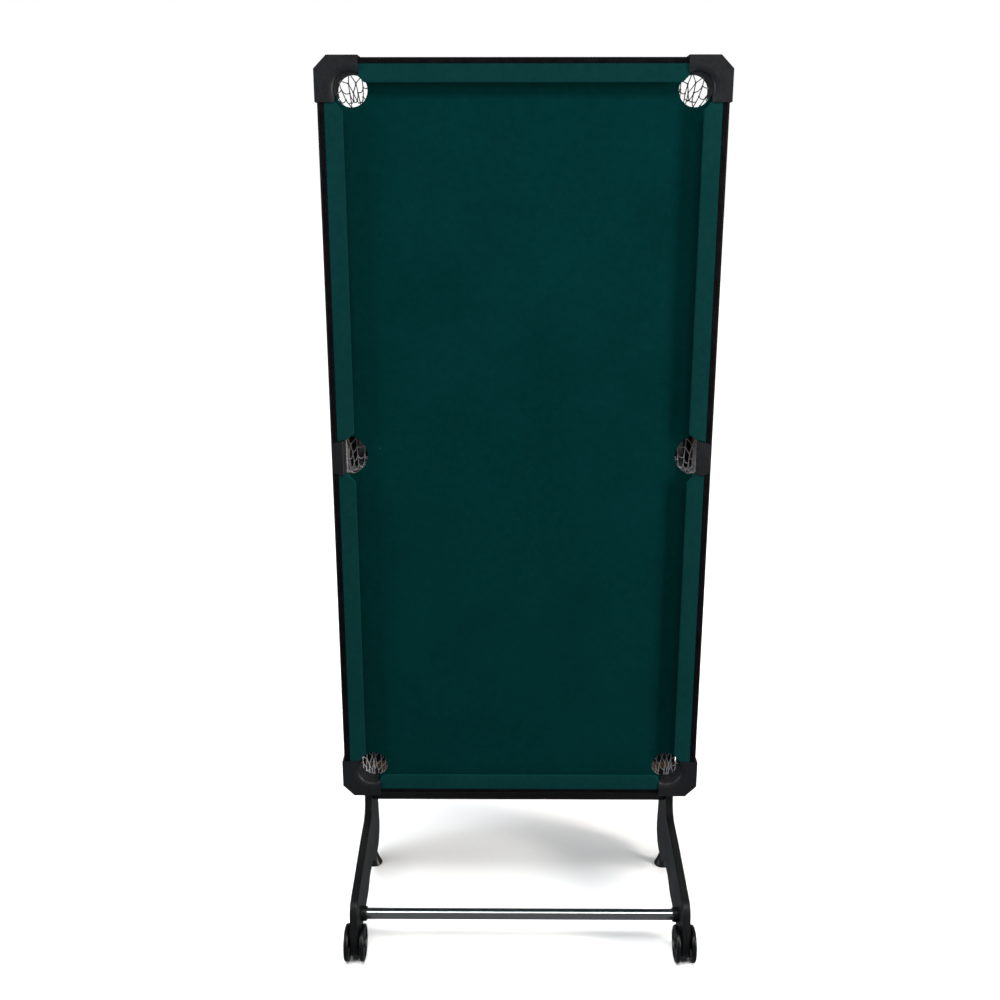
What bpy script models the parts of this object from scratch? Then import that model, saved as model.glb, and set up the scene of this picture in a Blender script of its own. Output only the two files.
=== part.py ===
"""Folding six-foot pool table, stood upright on its wheeled base for storage.

Metres, +Z up. The playing face looks along -Y and the table's long side is vertical. The origin is on the
floor, under the middle of the object's box. Depth means distance behind the face of the rails, along +Y.
The table turns on the tops of the base legs (tilt_axis), and a second pair of legs folds flat behind it
(fold_axis).
"""

import math

import bmesh
import bpy
from mathutils import Matrix, Vector

# Rails, measured over their outer edges, and where they stand
RAIL_WIDTH = 0.925
RAIL_LENGTH = 1.830
TABLE_MID_Z = 1.2804
RAIL_FACE_Y = -0.0355
CLEARANCE = 0.0003

TRIM_WIDTH = 0.015
END_TRIM_FACE = 0.0130
TRIM_DEPTH = 0.060
TRIM_CHAMFER = 0.0045
TRIM_END_INSET = 0.040

# Bed: the cloth's surface lies CLOTH_DEPTH behind the face of the rails
CLOTH_DEPTH = 0.0300
CLOTH_THICK = 0.0007
BED_THICK = 0.015
BED_INSET = 0.0158
BED_BACK_DEPTH = CLOTH_DEPTH + CLOTH_THICK + CLEARANCE + BED_THICK

# Cushions: widths are counted inwards from the outer edge of the rails
CUSHION_KINK = 0.040
SIDE_CUSHION_NOSE = 0.0570
END_CUSHION_NOSE = 0.0530
CUSHION_END = 0.0940
CORNER_JAW_SLOPE = 1.10
END_JAW_SLOPE = 1.0
SIDE_CUSHION_END = 0.0409
SIDE_JAW_SLOPE = 0.720
SIDE_MOUTH_IN = 0.0305

# Pockets
CORNER_POCKET_IN = (0.0740, 0.0670)
CORNER_HOLE_RADIUS = 0.0375
SIDE_POCKET_IN = 0.0350
SIDE_NOTCH_RADIUS = 0.0500
CORNER_NET_RADIUS = 0.0386
SIDE_NET_RADIUS = 0.0490
NET_WALL = 0.0011
NET_STEPS = 32
NET_BACK_DEPTH = 0.1180

# Aprons, under the bed
APRON_OUTER = 0.0155
APRON_THICK = 0.0125
SIDE_APRON_DEPTH = 0.1500
END_APRON_DEPTH = 0.1230
BATTEN_WIDTH = 0.060
BATTEN_DEPTH = 0.030
BATTEN_REACH = 0.400
BATTEN_OFFSET = 0.300

# Corner and side castings
CASTING_PROUD = 0.0028
CASTING_PLATE = 0.0025
CASTING_OVER = 0.0045
CASTING_WALL = 0.0041
CASTING_ARM = 0.095
CASTING_CHAMFER = 0.029
CASTING_SKIRT_DEPTH = 0.066
LINER_INNER = 0.0348
LINER_OUTER = 0.0368
LINER_DEPTH = 0.078
LINER_HALF_SPAN = math.radians(68)
SIDE_CASTING_OUTER = 0.0045
SIDE_CASTING_HALF_OUTER = 0.0375
SIDE_CASTING_HALF_INNER = 0.0430
SIDE_CASTING_ROUND = 0.006
SIDE_LINER_THICK = 0.0023
SIDE_LINER_DEPTH = 0.045

# Legs: two boards of the base and two folding ones, in the same planes
LEG_INNER = 0.4122
LEG_THICK = 0.020
LEG_OUTER = LEG_INNER + LEG_THICK
LEG_EDGE = 0.003
PIVOT_DEPTH = 0.0875
PIVOT_Y = RAIL_FACE_Y + PIVOT_DEPTH
TILT_Z = 0.715
FOLD_Z = 1.845
LEG_HEAD = 0.038
BOSS_RADIUS = 0.022
BOSS_HEIGHT = 0.0018

# Pivot bolts: a star knob outside the apron, its stud, and a nut inside the leg
STUD_RADIUS = 0.005
STUD_HOLE = 0.0053
STUD_END = 0.4020
KNOB_FROM = 0.4478
KNOB_TO = 0.4662
KNOB_RADIUS = 0.0195
KNOB_WAVE = 0.0025
KNOB_LOBES = 5
NUT_FROM = 0.4040
NUT_TO = 0.4118
NUT_RADIUS = 0.0098

# Wheels, axles, levelling feet and cross pieces
AXLE_Y = -0.2249
WHEEL_RADIUS = 0.0465
WHEEL_WIDTH = 0.0125
HUB_WIDTH = 0.0140
HUB_RADIUS = 0.013
WHEEL_OFFSET = 0.0200
AXLE_RADIUS = 0.006
AXLE_HOLE = 0.0063
AXLE_HEAD_RADIUS = 0.0100
AXLE_HEAD_THICK = 0.0025
FOOT_RADIUS = 0.0225
FOOT_STEM_RADIUS = 0.006
FOOT_STEM_HOLE = 0.0063
FOOT_STEM_TOP = 0.074
FOOT_HOLE_TOP = 0.090
BASE_FOOT_Y = 0.1989
FOLD_FOOT_OUT = 0.130
FOLD_LENGTH = 0.715
BAR_RADIUS = 0.014
BASE_BAR_YZ = (-0.1655, 0.0900)
FOLD_BAR_OUT_DOWN = (0.165, 0.620)
FERRULE_RADIUS = 0.019
FERRULE_LENGTH = 0.0144
PANEL_Y = (0.1200, 0.1500)
PANEL_Z = (0.2540, 0.4120)

ROUND_STEPS = 24
SIDES = {"left": -1, "right": 1}
ENDS = {"foot": -1, "head": 1}

PAINTS = {
    "baize": ((0.004, 0.045, 0.042, 1.0), 0.95, 0.0),
    "cushion_cloth": ((0.008, 0.075, 0.068, 1.0), 0.9, 0.0),
    "rail_vinyl": ((0.010, 0.008, 0.010, 1.0), 0.45, 0.0),
    "casting_plastic": ((0.020, 0.022, 0.026, 1.0), 0.6, 0.0),
    "raw_board": ((0.30, 0.18, 0.09, 1.0), 0.9, 0.0),
    "net_cord": ((0.55, 0.55, 0.58, 1.0), 0.9, 0.0),
    "leg_paint": ((0.030, 0.034, 0.040, 1.0), 0.4, 0.0),
    "chrome": ((0.75, 0.75, 0.75, 1.0), 0.08, 1.0),
    "wheel_plastic": ((0.012, 0.012, 0.013, 1.0), 0.35, 0.0),
    "foot_plastic": ((0.010, 0.010, 0.010, 1.0), 0.6, 0.0),
    "knob_plastic": ((0.015, 0.015, 0.016, 1.0), 0.5, 0.0),
    "zinc_steel": ((0.55, 0.55, 0.56, 1.0), 0.3, 1.0),
}


def paint(name):
    """The Principled material of one finish, made once."""
    if name in bpy.data.materials:
        return bpy.data.materials[name]
    colour, roughness, metallic = PAINTS[name]
    material = bpy.data.materials.new(name)
    material.use_nodes = True
    shader = material.node_tree.nodes["Principled BSDF"]
    shader.inputs["Base Color"].default_value = colour
    shader.inputs["Roughness"].default_value = roughness
    shader.inputs["Metallic"].default_value = metallic
    return material


def solid(name, points, faces, finish, round_piece=False):
    """A mesh object from points and faces, with its faces turned outwards."""
    mesh = bpy.data.meshes.new(name)
    mesh.from_pydata(points, [], faces)
    shape = bmesh.new()
    shape.from_mesh(mesh)
    bmesh.ops.recalc_face_normals(shape, faces=shape.faces)
    shape.to_mesh(mesh)
    shape.free()
    mesh.materials.append(paint(finish))
    if round_piece:
        mesh.shade_smooth()
        mesh.set_sharp_from_angle(angle=math.radians(35))
    obj = bpy.data.objects.new(name, mesh)
    bpy.context.scene.collection.objects.link(obj)
    return obj


def filleted(corners, step=math.radians(18)):
    """A closed outline through corners (u, v, radius), each corner rounded by an arc of its radius."""
    outline = []
    count = len(corners)
    for i, (u, v, radius) in enumerate(corners):
        here = Vector((u, v))
        before = (Vector(corners[i - 1][:2]) - here).normalized()
        after = (Vector(corners[(i + 1) % count][:2]) - here).normalized()
        if radius == 0:
            outline.append(tuple(here))
            continue
        half = before.angle(after) / 2
        middle = here + (before + after).normalized() * (radius / math.sin(half))
        start = here + before * (radius / math.tan(half)) - middle
        turn = start.angle_signed(here + after * (radius / math.tan(half)) - middle)
        pieces = max(1, math.ceil(abs(turn) / step))
        for k in range(pieces + 1):
            angle = -turn * k / pieces
            spun = Matrix.Rotation(angle, 2) @ start
            outline.append(tuple(middle + spun))
    return outline


def arc(centre, radius, start, end, pieces):
    """Points on an arc, both ends included."""
    angles = [start + (end - start) * k / pieces for k in range(pieces + 1)]
    return [(centre[0] + radius * math.cos(a), centre[1] + radius * math.sin(a)) for a in angles]


def prism(name, outline, axis, low, high, finish):
    """An outline pushed along X (outline in Y, Z), Y (outline in X, Z) or Z (outline in X, Y)."""
    slot = "XYZ".index(axis)
    points = []
    for level in (low, high):
        for pair in outline:
            point = list(pair)
            point.insert(slot, level)
            points.append(point)
    count = len(outline)
    faces = [list(range(count)), list(range(count, 2 * count))]
    for i in range(count):
        j = (i + 1) % count
        faces.append([i, j, count + j, count + i])
    return solid(name, points, faces, finish)


def turned(name, profile, axis, centre, finish, steps=ROUND_STEPS):
    """A turned piece: profile points are (distance along the axis, radius).

    A profile that starts and ends at radius 0 is closed at its poles; any other closes on itself as a ring.
    """
    slot = "XYZ".index(axis)
    on_axis = profile[0][1] == 0
    rims = profile[1:-1] if on_axis else profile
    points = []
    for along, radius in rims:
        for k in range(steps):
            angle = 2 * math.pi * k / steps
            point = [radius * math.cos(angle), radius * math.sin(angle)]
            point.insert(slot, along)
            points.append(Vector(point) + Vector(centre))
    faces = []
    rows = len(rims)
    for row in range(rows - 1 if on_axis else rows):
        for k in range(steps):
            a = row * steps + k
            b = row * steps + (k + 1) % steps
            c = ((row + 1) % rows) * steps
            faces.append([a, b, c + (k + 1) % steps, c + k])
    if on_axis:
        faces.append(list(range(steps)))
        faces.append([(rows - 1) * steps + k for k in range(steps)])
    return solid(name, points, faces, finish, round_piece=True)


def bevelled(obj, width, segments=1):
    """Rounds the rim edges of a piece, and leaves the shallow steps of its curves alone."""
    modifier = obj.modifiers.new("rounded_edges", "BEVEL")
    modifier.width = width
    modifier.segments = segments
    modifier.limit_method = "ANGLE"
    modifier.angle_limit = math.radians(50)


def combine(obj, tool, operation):
    """Cuts a tool out of a piece, or joins it on. The tool itself is only a guide."""
    tool.hide_render = True
    tool.display_type = "WIRE"
    modifier = obj.modifiers.new(operation.lower(), "BOOLEAN")
    modifier.object = tool
    modifier.operation = operation
    modifier.solver = "EXACT"


def rod(name, axis, centre, radius, low, high, steps=16):
    """A plain round guide, used as a drill or as a shank."""
    profile = [(low, 0), (low, radius), (high, radius), (high, 0)]
    return turned(name, profile, axis, centre, "zinc_steel", steps)


def hang(obj, empty):
    """Makes a piece a child of an empty, without moving it."""
    obj.data.transform(Matrix.Translation(-empty.location))
    obj.parent = empty


def empty_at(name, place, parent=None):
    """An empty on a joint's axis."""
    empty = bpy.data.objects.new(name, None)
    empty.location = place
    bpy.context.scene.collection.objects.link(empty)
    if parent:
        empty.parent = parent
        empty.location = Vector(place) - parent.location
    return empty


def from_edges(side, end, width_in, length_in):
    """X and Z of a point given by its distances in from one corner of the rails."""
    x = side * (RAIL_WIDTH / 2 - width_in)
    z = TABLE_MID_Z + end * (RAIL_LENGTH / 2 - length_in)
    return x, z


def depth(value):
    """World Y of a depth behind the rails' face."""
    return RAIL_FACE_Y + value


def box(name, low, high, finish):
    """A plain board between two corners."""
    outline = [(low[0], low[2]), (high[0], low[2]), (high[0], high[2]), (low[0], high[2])]
    return prism(name, outline, "Y", low[1], high[1], finish)


# ---------------------------------------------------------------- table top


def cut_pockets(obj, grow, low, high):
    """Cuts the four corner holes and the two side notches through a sheet or board."""
    for side_name, side in SIDES.items():
        for end_name, end in ENDS.items():
            x, z = from_edges(side, end, *CORNER_POCKET_IN)
            name = f"{obj.name}_{end_name}_{side_name}_hole"
            radius = CORNER_HOLE_RADIUS + grow
            combine(obj, rod(name, "Y", (x, 0, z), radius, low, high, 32), "DIFFERENCE")
        centre = (side * (RAIL_WIDTH / 2 - SIDE_POCKET_IN), 0, TABLE_MID_Z)
        name = f"{obj.name}_{side_name}_notch"
        radius = SIDE_NOTCH_RADIUS + grow
        combine(obj, rod(name, "Y", centre, radius, low, high, 40), "DIFFERENCE")


def make_bed():
    """The playing board and its stretched cloth."""
    half_x = RAIL_WIDTH / 2 - BED_INSET
    half_z = RAIL_LENGTH / 2 - BED_INSET
    layers = {
        "playfield_bed": (BED_BACK_DEPTH - BED_THICK, BED_BACK_DEPTH, "raw_board", 0.0),
        "bed_cloth": (CLOTH_DEPTH, CLOTH_DEPTH + CLOTH_THICK, "baize", 0.0004),
    }
    made = []
    for name, (front, back, finish, grow) in layers.items():
        low = (-half_x, depth(front), TABLE_MID_Z - half_z)
        high = (half_x, depth(back), TABLE_MID_Z + half_z)
        board = box(name, low, high, finish)
        cut_pockets(board, grow, depth(front) - 0.01, depth(back) + 0.01)
        made.append(board)
    return made


def cushion_section(outer, nose):
    """The cushion's section as (width in from the rail's edge, depth): a flat top, a nose and an undercut."""
    bottom = CLOTH_DEPTH - CLEARANCE
    return [
        (outer, 0.0008),
        (CUSHION_KINK, 0.0012),
        (nose - 0.003, 0.0026),
        (nose - 0.0004, 0.0045),
        (nose, 0.0065),
        (nose - 0.0012, 0.0090),
        (CUSHION_KINK, 0.0235),
        (CUSHION_KINK - 0.006, bottom),
        (outer, bottom),
    ]


def corner_jaw(slope):
    """End of a cushion at a corner pocket: square up to the kink, then cut back at the jaw's slope."""
    return lambda width: CUSHION_END + max(0.0, width - CUSHION_KINK) * slope


def side_jaw(width):
    """End of a cushion at a side pocket, measured from the table's middle."""
    return SIDE_CUSHION_END + max(0.0, width - SIDE_MOUTH_IN) * SIDE_JAW_SLOPE


def cushion(name, section, start, end, place):
    """A cushion: its section swept between two ends that depend on the width."""
    kink_rows = [i for i, (w, _) in enumerate(section) if w == CUSHION_KINK]
    points = []
    for ending in (start, end):
        points += [place(width, ending(width), back) for width, back in section]
    count = len(section)
    faces = []
    for i in range(count):
        j = (i + 1) % count
        faces.append([i, j, count + j, count + i])
    nose = list(range(kink_rows[0], kink_rows[1] + 1))
    root = list(range(kink_rows[1], count)) + list(range(kink_rows[0] + 1))
    for first in (0, count):
        faces.append([first + i for i in nose])
        faces.append([first + i for i in root])
    return solid(name, points, faces, "cushion_cloth", round_piece=True)


def make_cushions():
    """Two end cushions and four side cushions."""
    made = []
    half_x = RAIL_WIDTH / 2
    half_z = RAIL_LENGTH / 2
    end_section = cushion_section(END_TRIM_FACE + CLEARANCE, END_CUSHION_NOSE)
    side_section = cushion_section(TRIM_WIDTH + CLEARANCE, SIDE_CUSHION_NOSE)
    for end_name, end in ENDS.items():

        def across(width, along, back, end=end):
            return (along, depth(back), TABLE_MID_Z + end * (half_z - width))

        jaw = corner_jaw(END_JAW_SLOPE)
        low = lambda width: jaw(width) - half_x
        high = lambda width: half_x - jaw(width)
        made.append(cushion(f"cushion_{end_name}", end_section, low, high, across))
    for side_name, side in SIDES.items():
        for end_name, end in ENDS.items():

            def upright(width, along, back, side=side, end=end):
                return (side * (half_x - width), depth(back), TABLE_MID_Z + end * along)

            jaw_out = corner_jaw(CORNER_JAW_SLOPE)
            far = lambda width: half_z - jaw_out(width)
            name = f"cushion_{side_name}_{end_name}"
            made.append(cushion(name, side_section, side_jaw, far, upright))
    return made


def make_trims():
    """Four thin rails round the outside, chamfered outside; the end ones are rebated for their cushions."""
    outside = [
        (TRIM_WIDTH, TRIM_DEPTH),
        (0.0015, TRIM_DEPTH),
        (0.0, TRIM_DEPTH - 0.0015),
        (0.0, TRIM_CHAMFER),
    ]
    side_face = [(TRIM_CHAMFER, 0.0), (TRIM_WIDTH, 0.0)]
    end_face = [
        (TRIM_CHAMFER, 0.0),
        (END_TRIM_FACE, 0.0),
        (END_TRIM_FACE, CLOTH_DEPTH),
        (TRIM_WIDTH, CLOTH_DEPTH),
    ]
    made = []
    reach_z = RAIL_LENGTH / 2 - TRIM_END_INSET
    reach_x = RAIL_WIDTH / 2 - TRIM_END_INSET
    for name, side in SIDES.items():
        outline = [(side * (RAIL_WIDTH / 2 - w), depth(d)) for w, d in side_face + outside]
        low, high = TABLE_MID_Z - reach_z, TABLE_MID_Z + reach_z
        made.append(prism(f"rail_trim_{name}", outline, "Z", low, high, "rail_vinyl"))
    for name, end in ENDS.items():
        rail_edge = TABLE_MID_Z + end * RAIL_LENGTH / 2
        outline = [(depth(d), rail_edge - end * w) for w, d in end_face + outside]
        made.append(prism(f"rail_trim_{name}", outline, "X", -reach_x, reach_x, "rail_vinyl"))
    return made


def make_corner_casting(side_name, end_name):
    """A corner casting: a chamfered face plate, a skirt round the rail ends and a liner round the pocket."""
    side, end = SIDES[side_name], ENDS[end_name]
    name = f"corner_casting_{end_name}_{side_name}"
    over = CASTING_OVER
    pocket_w, pocket_l = CORNER_POCKET_IN
    front = depth(-CASTING_PROUD)

    def placed(outline):
        return [from_edges(side, end, w, l) for w, l in outline]

    arm_angle = math.acos((CASTING_ARM - pocket_w) / LINER_INNER)
    plate_outline = [
        (-over, CASTING_ARM),
        (-over, CASTING_CHAMFER - over),
        (CASTING_CHAMFER - over, -over),
        (CASTING_ARM, -over),
    ]
    plate_outline += arc((pocket_w, pocket_l), LINER_INNER, -arm_angle, -math.pi, 12)
    plate_outline.append((pocket_w - LINER_INNER, CASTING_ARM))
    back = front + CASTING_PLATE
    casting = prism(name, placed(plate_outline), "Y", front, back, "casting_plastic")

    inner = over - CASTING_WALL
    slant = CASTING_WALL * (math.sqrt(2) - 1)
    skirt_outline = plate_outline[:4] + [
        (CASTING_ARM, -inner),
        (CASTING_CHAMFER - over + slant, -inner),
        (-inner, CASTING_CHAMFER - over + slant),
        (-inner, CASTING_ARM),
    ]
    skirt_back = depth(CASTING_SKIRT_DEPTH)
    skirt = prism(f"{name}_skirt", placed(skirt_outline), "Y", front, skirt_back, "casting_plastic")
    combine(casting, skirt, "UNION")

    middle = math.radians(225)
    span = (middle - LINER_HALF_SPAN, middle + LINER_HALF_SPAN)
    liner_outline = arc((pocket_w, pocket_l), LINER_OUTER, *span, 16)
    liner_outline += reversed(arc((pocket_w, pocket_l), LINER_INNER, *span, 16))
    liner_back = depth(LINER_DEPTH)
    liner = prism(f"{name}_liner", placed(liner_outline), "Y", front, liner_back, "casting_plastic")
    combine(casting, liner, "UNION")
    return casting


def make_side_casting(side_name):
    """A side pocket casting: a face plate with rounded outer corners, and a straight liner behind it."""
    side = SIDES[side_name]
    name = f"side_casting_{side_name}"
    inner = SIDE_MOUTH_IN
    outer = SIDE_CASTING_OUTER
    corners = [
        (outer, -SIDE_CASTING_HALF_OUTER, SIDE_CASTING_ROUND),
        (inner, -SIDE_CASTING_HALF_INNER, 0.0),
        (inner, SIDE_CASTING_HALF_INNER, 0.0),
        (outer, SIDE_CASTING_HALF_OUTER, SIDE_CASTING_ROUND),
    ]
    outline = [(side * (RAIL_WIDTH / 2 - w), TABLE_MID_Z + l) for w, l in filleted(corners)]
    front = depth(-CASTING_PROUD)
    casting = prism(name, outline, "Y", front, front + CASTING_PLATE, "casting_plastic")
    liner_x = side * (RAIL_WIDTH / 2 - inner)
    low_x, high_x = sorted((liner_x, liner_x + side * SIDE_LINER_THICK))
    half = SIDE_CUSHION_END - CLEARANCE
    low = (low_x, front, TABLE_MID_Z - half)
    high = (high_x, depth(SIDE_LINER_DEPTH), TABLE_MID_Z + half)
    combine(casting, box(f"{name}_liner", low, high, "casting_plastic"), "UNION")
    return casting


def net_bag(name, centre, radius, flat):
    """A net bag as a thin round cup, open to the front; flat is where the apron holds it in."""
    levels = (0.0, 0.50, 0.80, 0.93, 0.985)
    steps = NET_STEPS
    mouth = BED_BACK_DEPTH + 0.0006
    points = []

    def ring(size, stop, back):
        for k in range(steps):
            angle = 2 * math.pi * k / steps
            across = min(size * math.cos(angle), stop)
            x = centre[0] + math.copysign(across, across * centre[0])
            points.append((x, depth(back), centre[1] + size * math.sin(angle)))

    shells = ((radius, flat, NET_BACK_DEPTH), (radius - NET_WALL, flat - NET_WALL, NET_BACK_DEPTH - NET_WALL))
    for size, stop, floor in shells:
        for t in levels:
            ring(size * (1 - t**6) ** (1 / 6), stop, mouth + t * (floor - mouth))
    rows = len(levels)
    faces = []
    for shell in range(2):
        for row in range(rows - 1):
            for k in range(steps):
                a = (shell * rows + row) * steps
                b = a + steps
                j = (k + 1) % steps
                faces.append([a + k, a + j, b + j, b + k])
    inner = rows * steps
    for k in range(steps):
        j = (k + 1) % steps
        faces.append([k, j, inner + j, inner + k])
    for shell, floor in enumerate((NET_BACK_DEPTH, NET_BACK_DEPTH - NET_WALL)):
        pole = len(points)
        points.append((centre[0], depth(floor), centre[1]))
        last = (shell * rows + rows - 1) * steps
        for k in range(steps):
            faces.append([last + k, last + (k + 1) % steps, pole])
    return solid(name, points, faces, "net_cord", round_piece=True)


def make_nets():
    """Six net bags, one behind each pocket."""
    made = []
    for side_name, side in SIDES.items():
        for end_name, end in ENDS.items():
            centre = from_edges(side, end, *CORNER_POCKET_IN)
            name = f"pocket_net_{end_name}_{side_name}"
            made.append(net_bag(name, centre, CORNER_NET_RADIUS, CORNER_NET_RADIUS))
        centre = (side * (RAIL_WIDTH / 2 - SIDE_POCKET_IN), TABLE_MID_Z)
        flat = SIDE_POCKET_IN - APRON_OUTER - APRON_THICK - 0.0006
        made.append(net_bag(f"pocket_net_side_{side_name}", centre, SIDE_NET_RADIUS, flat))
    return made


def make_aprons():
    """The cabinet's four boards, with the pivot holes in the side ones, and two battens under the bed."""
    made = []
    front = depth(BED_BACK_DEPTH + CLEARANCE)
    side_back = depth(SIDE_APRON_DEPTH)
    end_back = depth(END_APRON_DEPTH)
    out_x = RAIL_WIDTH / 2 - APRON_OUTER
    out_z = RAIL_LENGTH / 2 - APRON_OUTER
    for name, side in SIDES.items():
        low_x, high_x = sorted((side * out_x, side * (out_x - APRON_THICK)))
        low = (low_x, front, TABLE_MID_Z - out_z)
        high = (high_x, side_back, TABLE_MID_Z + out_z)
        apron = box(f"apron_{name}", low, high, "raw_board")
        for pivot, z in (("tilt", TILT_Z), ("fold", FOLD_Z)):
            ends = (low_x - 0.01, high_x + 0.01)
            drill = rod(f"apron_{name}_{pivot}_drill", "X", (0, PIVOT_Y, z), STUD_HOLE, *ends)
            combine(apron, drill, "DIFFERENCE")
        made.append(apron)
    in_x = out_x - APRON_THICK - CLEARANCE
    for name, end in ENDS.items():
        low_z, high_z = sorted((TABLE_MID_Z + end * out_z, TABLE_MID_Z + end * (out_z - APRON_THICK)))
        made.append(box(f"apron_{name}", (-in_x, front, low_z), (in_x, end_back, high_z), "raw_board"))
    for name, end in ENDS.items():
        z = TABLE_MID_Z + end * BATTEN_OFFSET
        low = (-BATTEN_REACH, front, z - BATTEN_WIDTH / 2)
        high = (BATTEN_REACH, front + BATTEN_DEPTH, z + BATTEN_WIDTH / 2)
        batten = box(f"batten_{name}", low, high, "raw_board")
        bevelled(batten, 0.003)
        made.append(batten)
    return made


# ---------------------------------------------------------------- legs and what they carry

BASE_LEG_CORNERS = [
    # nose round the axle, then the underside to the heel
    (-0.2610, 0.0110, 0.0350),
    (-0.1880, 0.0110, 0.0340),
    (-0.1400, 0.0450, 0.0300),
    (-0.0200, 0.0530, 0.0800),
    (0.0280, 0.0745, 0.0500),
    (0.0980, 0.0765, 0.0350),
    (0.1480, 0.0390, 0.0300),
    (0.2790, 0.0390, 0.0550),
    # back edge of the post, up to the round head on the pivot
    (0.2110, 0.4200, 0.3000),
    (PIVOT_Y + LEG_HEAD, TILT_Z + LEG_HEAD, LEG_HEAD - 0.0001),
    (PIVOT_Y - LEG_HEAD, TILT_Z + LEG_HEAD, LEG_HEAD - 0.0001),
    # front edge of the post, down to the top of the foot
    (0.0160, 0.6200, 0.1600),
    (0.1100, 0.4550, 0.1400),
    (0.1100, 0.2205, 0.0500),
    (-0.0100, 0.2060, 0.3000),
    (-0.2420, 0.1640, 0.0380),
]

FOLD_LEG_CORNERS = [
    # (outwards from the pivot, down from the pivot, radius)
    (-LEG_HEAD, -LEG_HEAD, 0.0355),
    (LEG_HEAD, -LEG_HEAD, 0.0355),
    (0.0400, 0.3000, 0.3000),
    (0.1150, 0.4800, 0.1600),
    (0.2194, 0.5300, 0.0550),
    (0.2194, 0.6785, 0.0300),
    (0.0420, 0.6785, 0.0300),
    (0.0420, 0.5000, 0.1500),
    (-0.0370, 0.3400, 0.2000),
]


def leg_board(name, side, outline, pivot_z, foot_y, floor_z):
    """A leg cut from board: rounded rims, a boss and a hole at its pivot, and a hole for its foot's stem."""
    low, high = sorted((side * LEG_INNER, side * LEG_OUTER))
    leg = prism(name, outline, "X", low, high, "leg_paint")
    bevelled(leg, LEG_EDGE)
    boss_ends = sorted((side * (LEG_OUTER - 0.002), side * (LEG_OUTER + BOSS_HEIGHT)))
    combine(leg, rod(f"{name}_boss", "X", (0, PIVOT_Y, pivot_z), BOSS_RADIUS, *boss_ends, 24), "UNION")
    drill_ends = (low - 0.01, high + 0.01)
    combine(leg, rod(f"{name}_drill", "X", (0, PIVOT_Y, pivot_z), STUD_HOLE, *drill_ends), "DIFFERENCE")
    centre = (side * (LEG_INNER + LEG_THICK / 2), foot_y, 0)
    stem_hole = rod(f"{name}_stem_hole", "Z", centre, FOOT_STEM_HOLE, floor_z, floor_z + FOOT_HOLE_TOP)
    combine(leg, stem_hole, "DIFFERENCE")
    return leg


def levelling_foot(name, side, foot_y, floor_z):
    """A cone-shaped levelling foot on a threaded stem, standing on floor_z."""
    profile = [
        (0.0, 0.0),
        (0.0, FOOT_RADIUS - 0.001),
        (0.001, FOOT_RADIUS),
        (0.005, FOOT_RADIUS),
        (0.009, 0.0200),
        (0.026, 0.0125),
        (0.032, 0.0110),
        (0.034, 0.0095),
        (0.034, FOOT_STEM_RADIUS),
        (FOOT_STEM_TOP, FOOT_STEM_RADIUS),
        (FOOT_STEM_TOP, 0.0),
    ]
    centre = (side * (LEG_INNER + LEG_THICK / 2), foot_y, floor_z)
    return turned(name, profile, "Z", centre, "foot_plastic", 18)


def cross_bar(name, place):
    """A bright round bar between two legs, with its ends just clear of them."""
    end = LEG_INNER - CLEARANCE
    profile = [(-end, 0), (-end, BAR_RADIUS), (end, BAR_RADIUS), (end, 0)]
    return turned(name, profile, "X", (0, *place), "chrome")


def ferrule(name, side, place):
    """A dark collar round the end of a cross bar."""
    start = LEG_INNER - CLEARANCE - FERRULE_LENGTH
    end = LEG_INNER - CLEARANCE
    inside = BAR_RADIUS + CLEARANCE
    profile = [
        (start, inside),
        (start, FERRULE_RADIUS - 0.0015),
        (start + 0.0015, FERRULE_RADIUS),
        (end, FERRULE_RADIUS),
        (end, inside),
    ]
    return turned(name, [(side * a, r) for a, r in profile], "X", (0, *place), "leg_paint")


def wheel(name, x):
    """A disc wheel with a thicker hub, turned about X."""
    half = WHEEL_WIDTH / 2
    hub = HUB_WIDTH / 2
    rim = WHEEL_RADIUS
    profile = [
        (-hub, AXLE_HOLE),
        (-hub, HUB_RADIUS),
        (-half + 0.003, HUB_RADIUS + 0.002),
        (-half + 0.003, rim - 0.011),
        (-half, rim - 0.009),
        (-half, rim - 0.003),
        (-half + 0.003, rim),
        (half - 0.003, rim),
        (half, rim - 0.003),
        (half, rim - 0.009),
        (half - 0.003, rim - 0.011),
        (half - 0.003, HUB_RADIUS + 0.002),
        (hub, HUB_RADIUS),
        (hub, AXLE_HOLE),
    ]
    return turned(name, profile, "X", (x, AXLE_Y, WHEEL_RADIUS), "wheel_plastic", 28)


def axle(name, side):
    """A wheel axle with a flat head outside each of its two wheels."""
    middle = side * (LEG_INNER + LEG_THICK / 2)
    shank = WHEEL_OFFSET + HUB_WIDTH / 2 + CLEARANCE
    tip = shank + AXLE_HEAD_THICK
    profile = [
        (-tip, 0),
        (-tip, AXLE_HEAD_RADIUS - 0.0015),
        (-tip + 0.0015, AXLE_HEAD_RADIUS),
        (-shank, AXLE_HEAD_RADIUS),
        (-shank, AXLE_RADIUS),
        (shank, AXLE_RADIUS),
        (shank, AXLE_HEAD_RADIUS),
        (tip - 0.0015, AXLE_HEAD_RADIUS),
        (tip, AXLE_HEAD_RADIUS - 0.0015),
        (tip, 0),
    ]
    return turned(name, profile, "X", (middle, AXLE_Y, WHEEL_RADIUS), "zinc_steel", 16)


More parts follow.
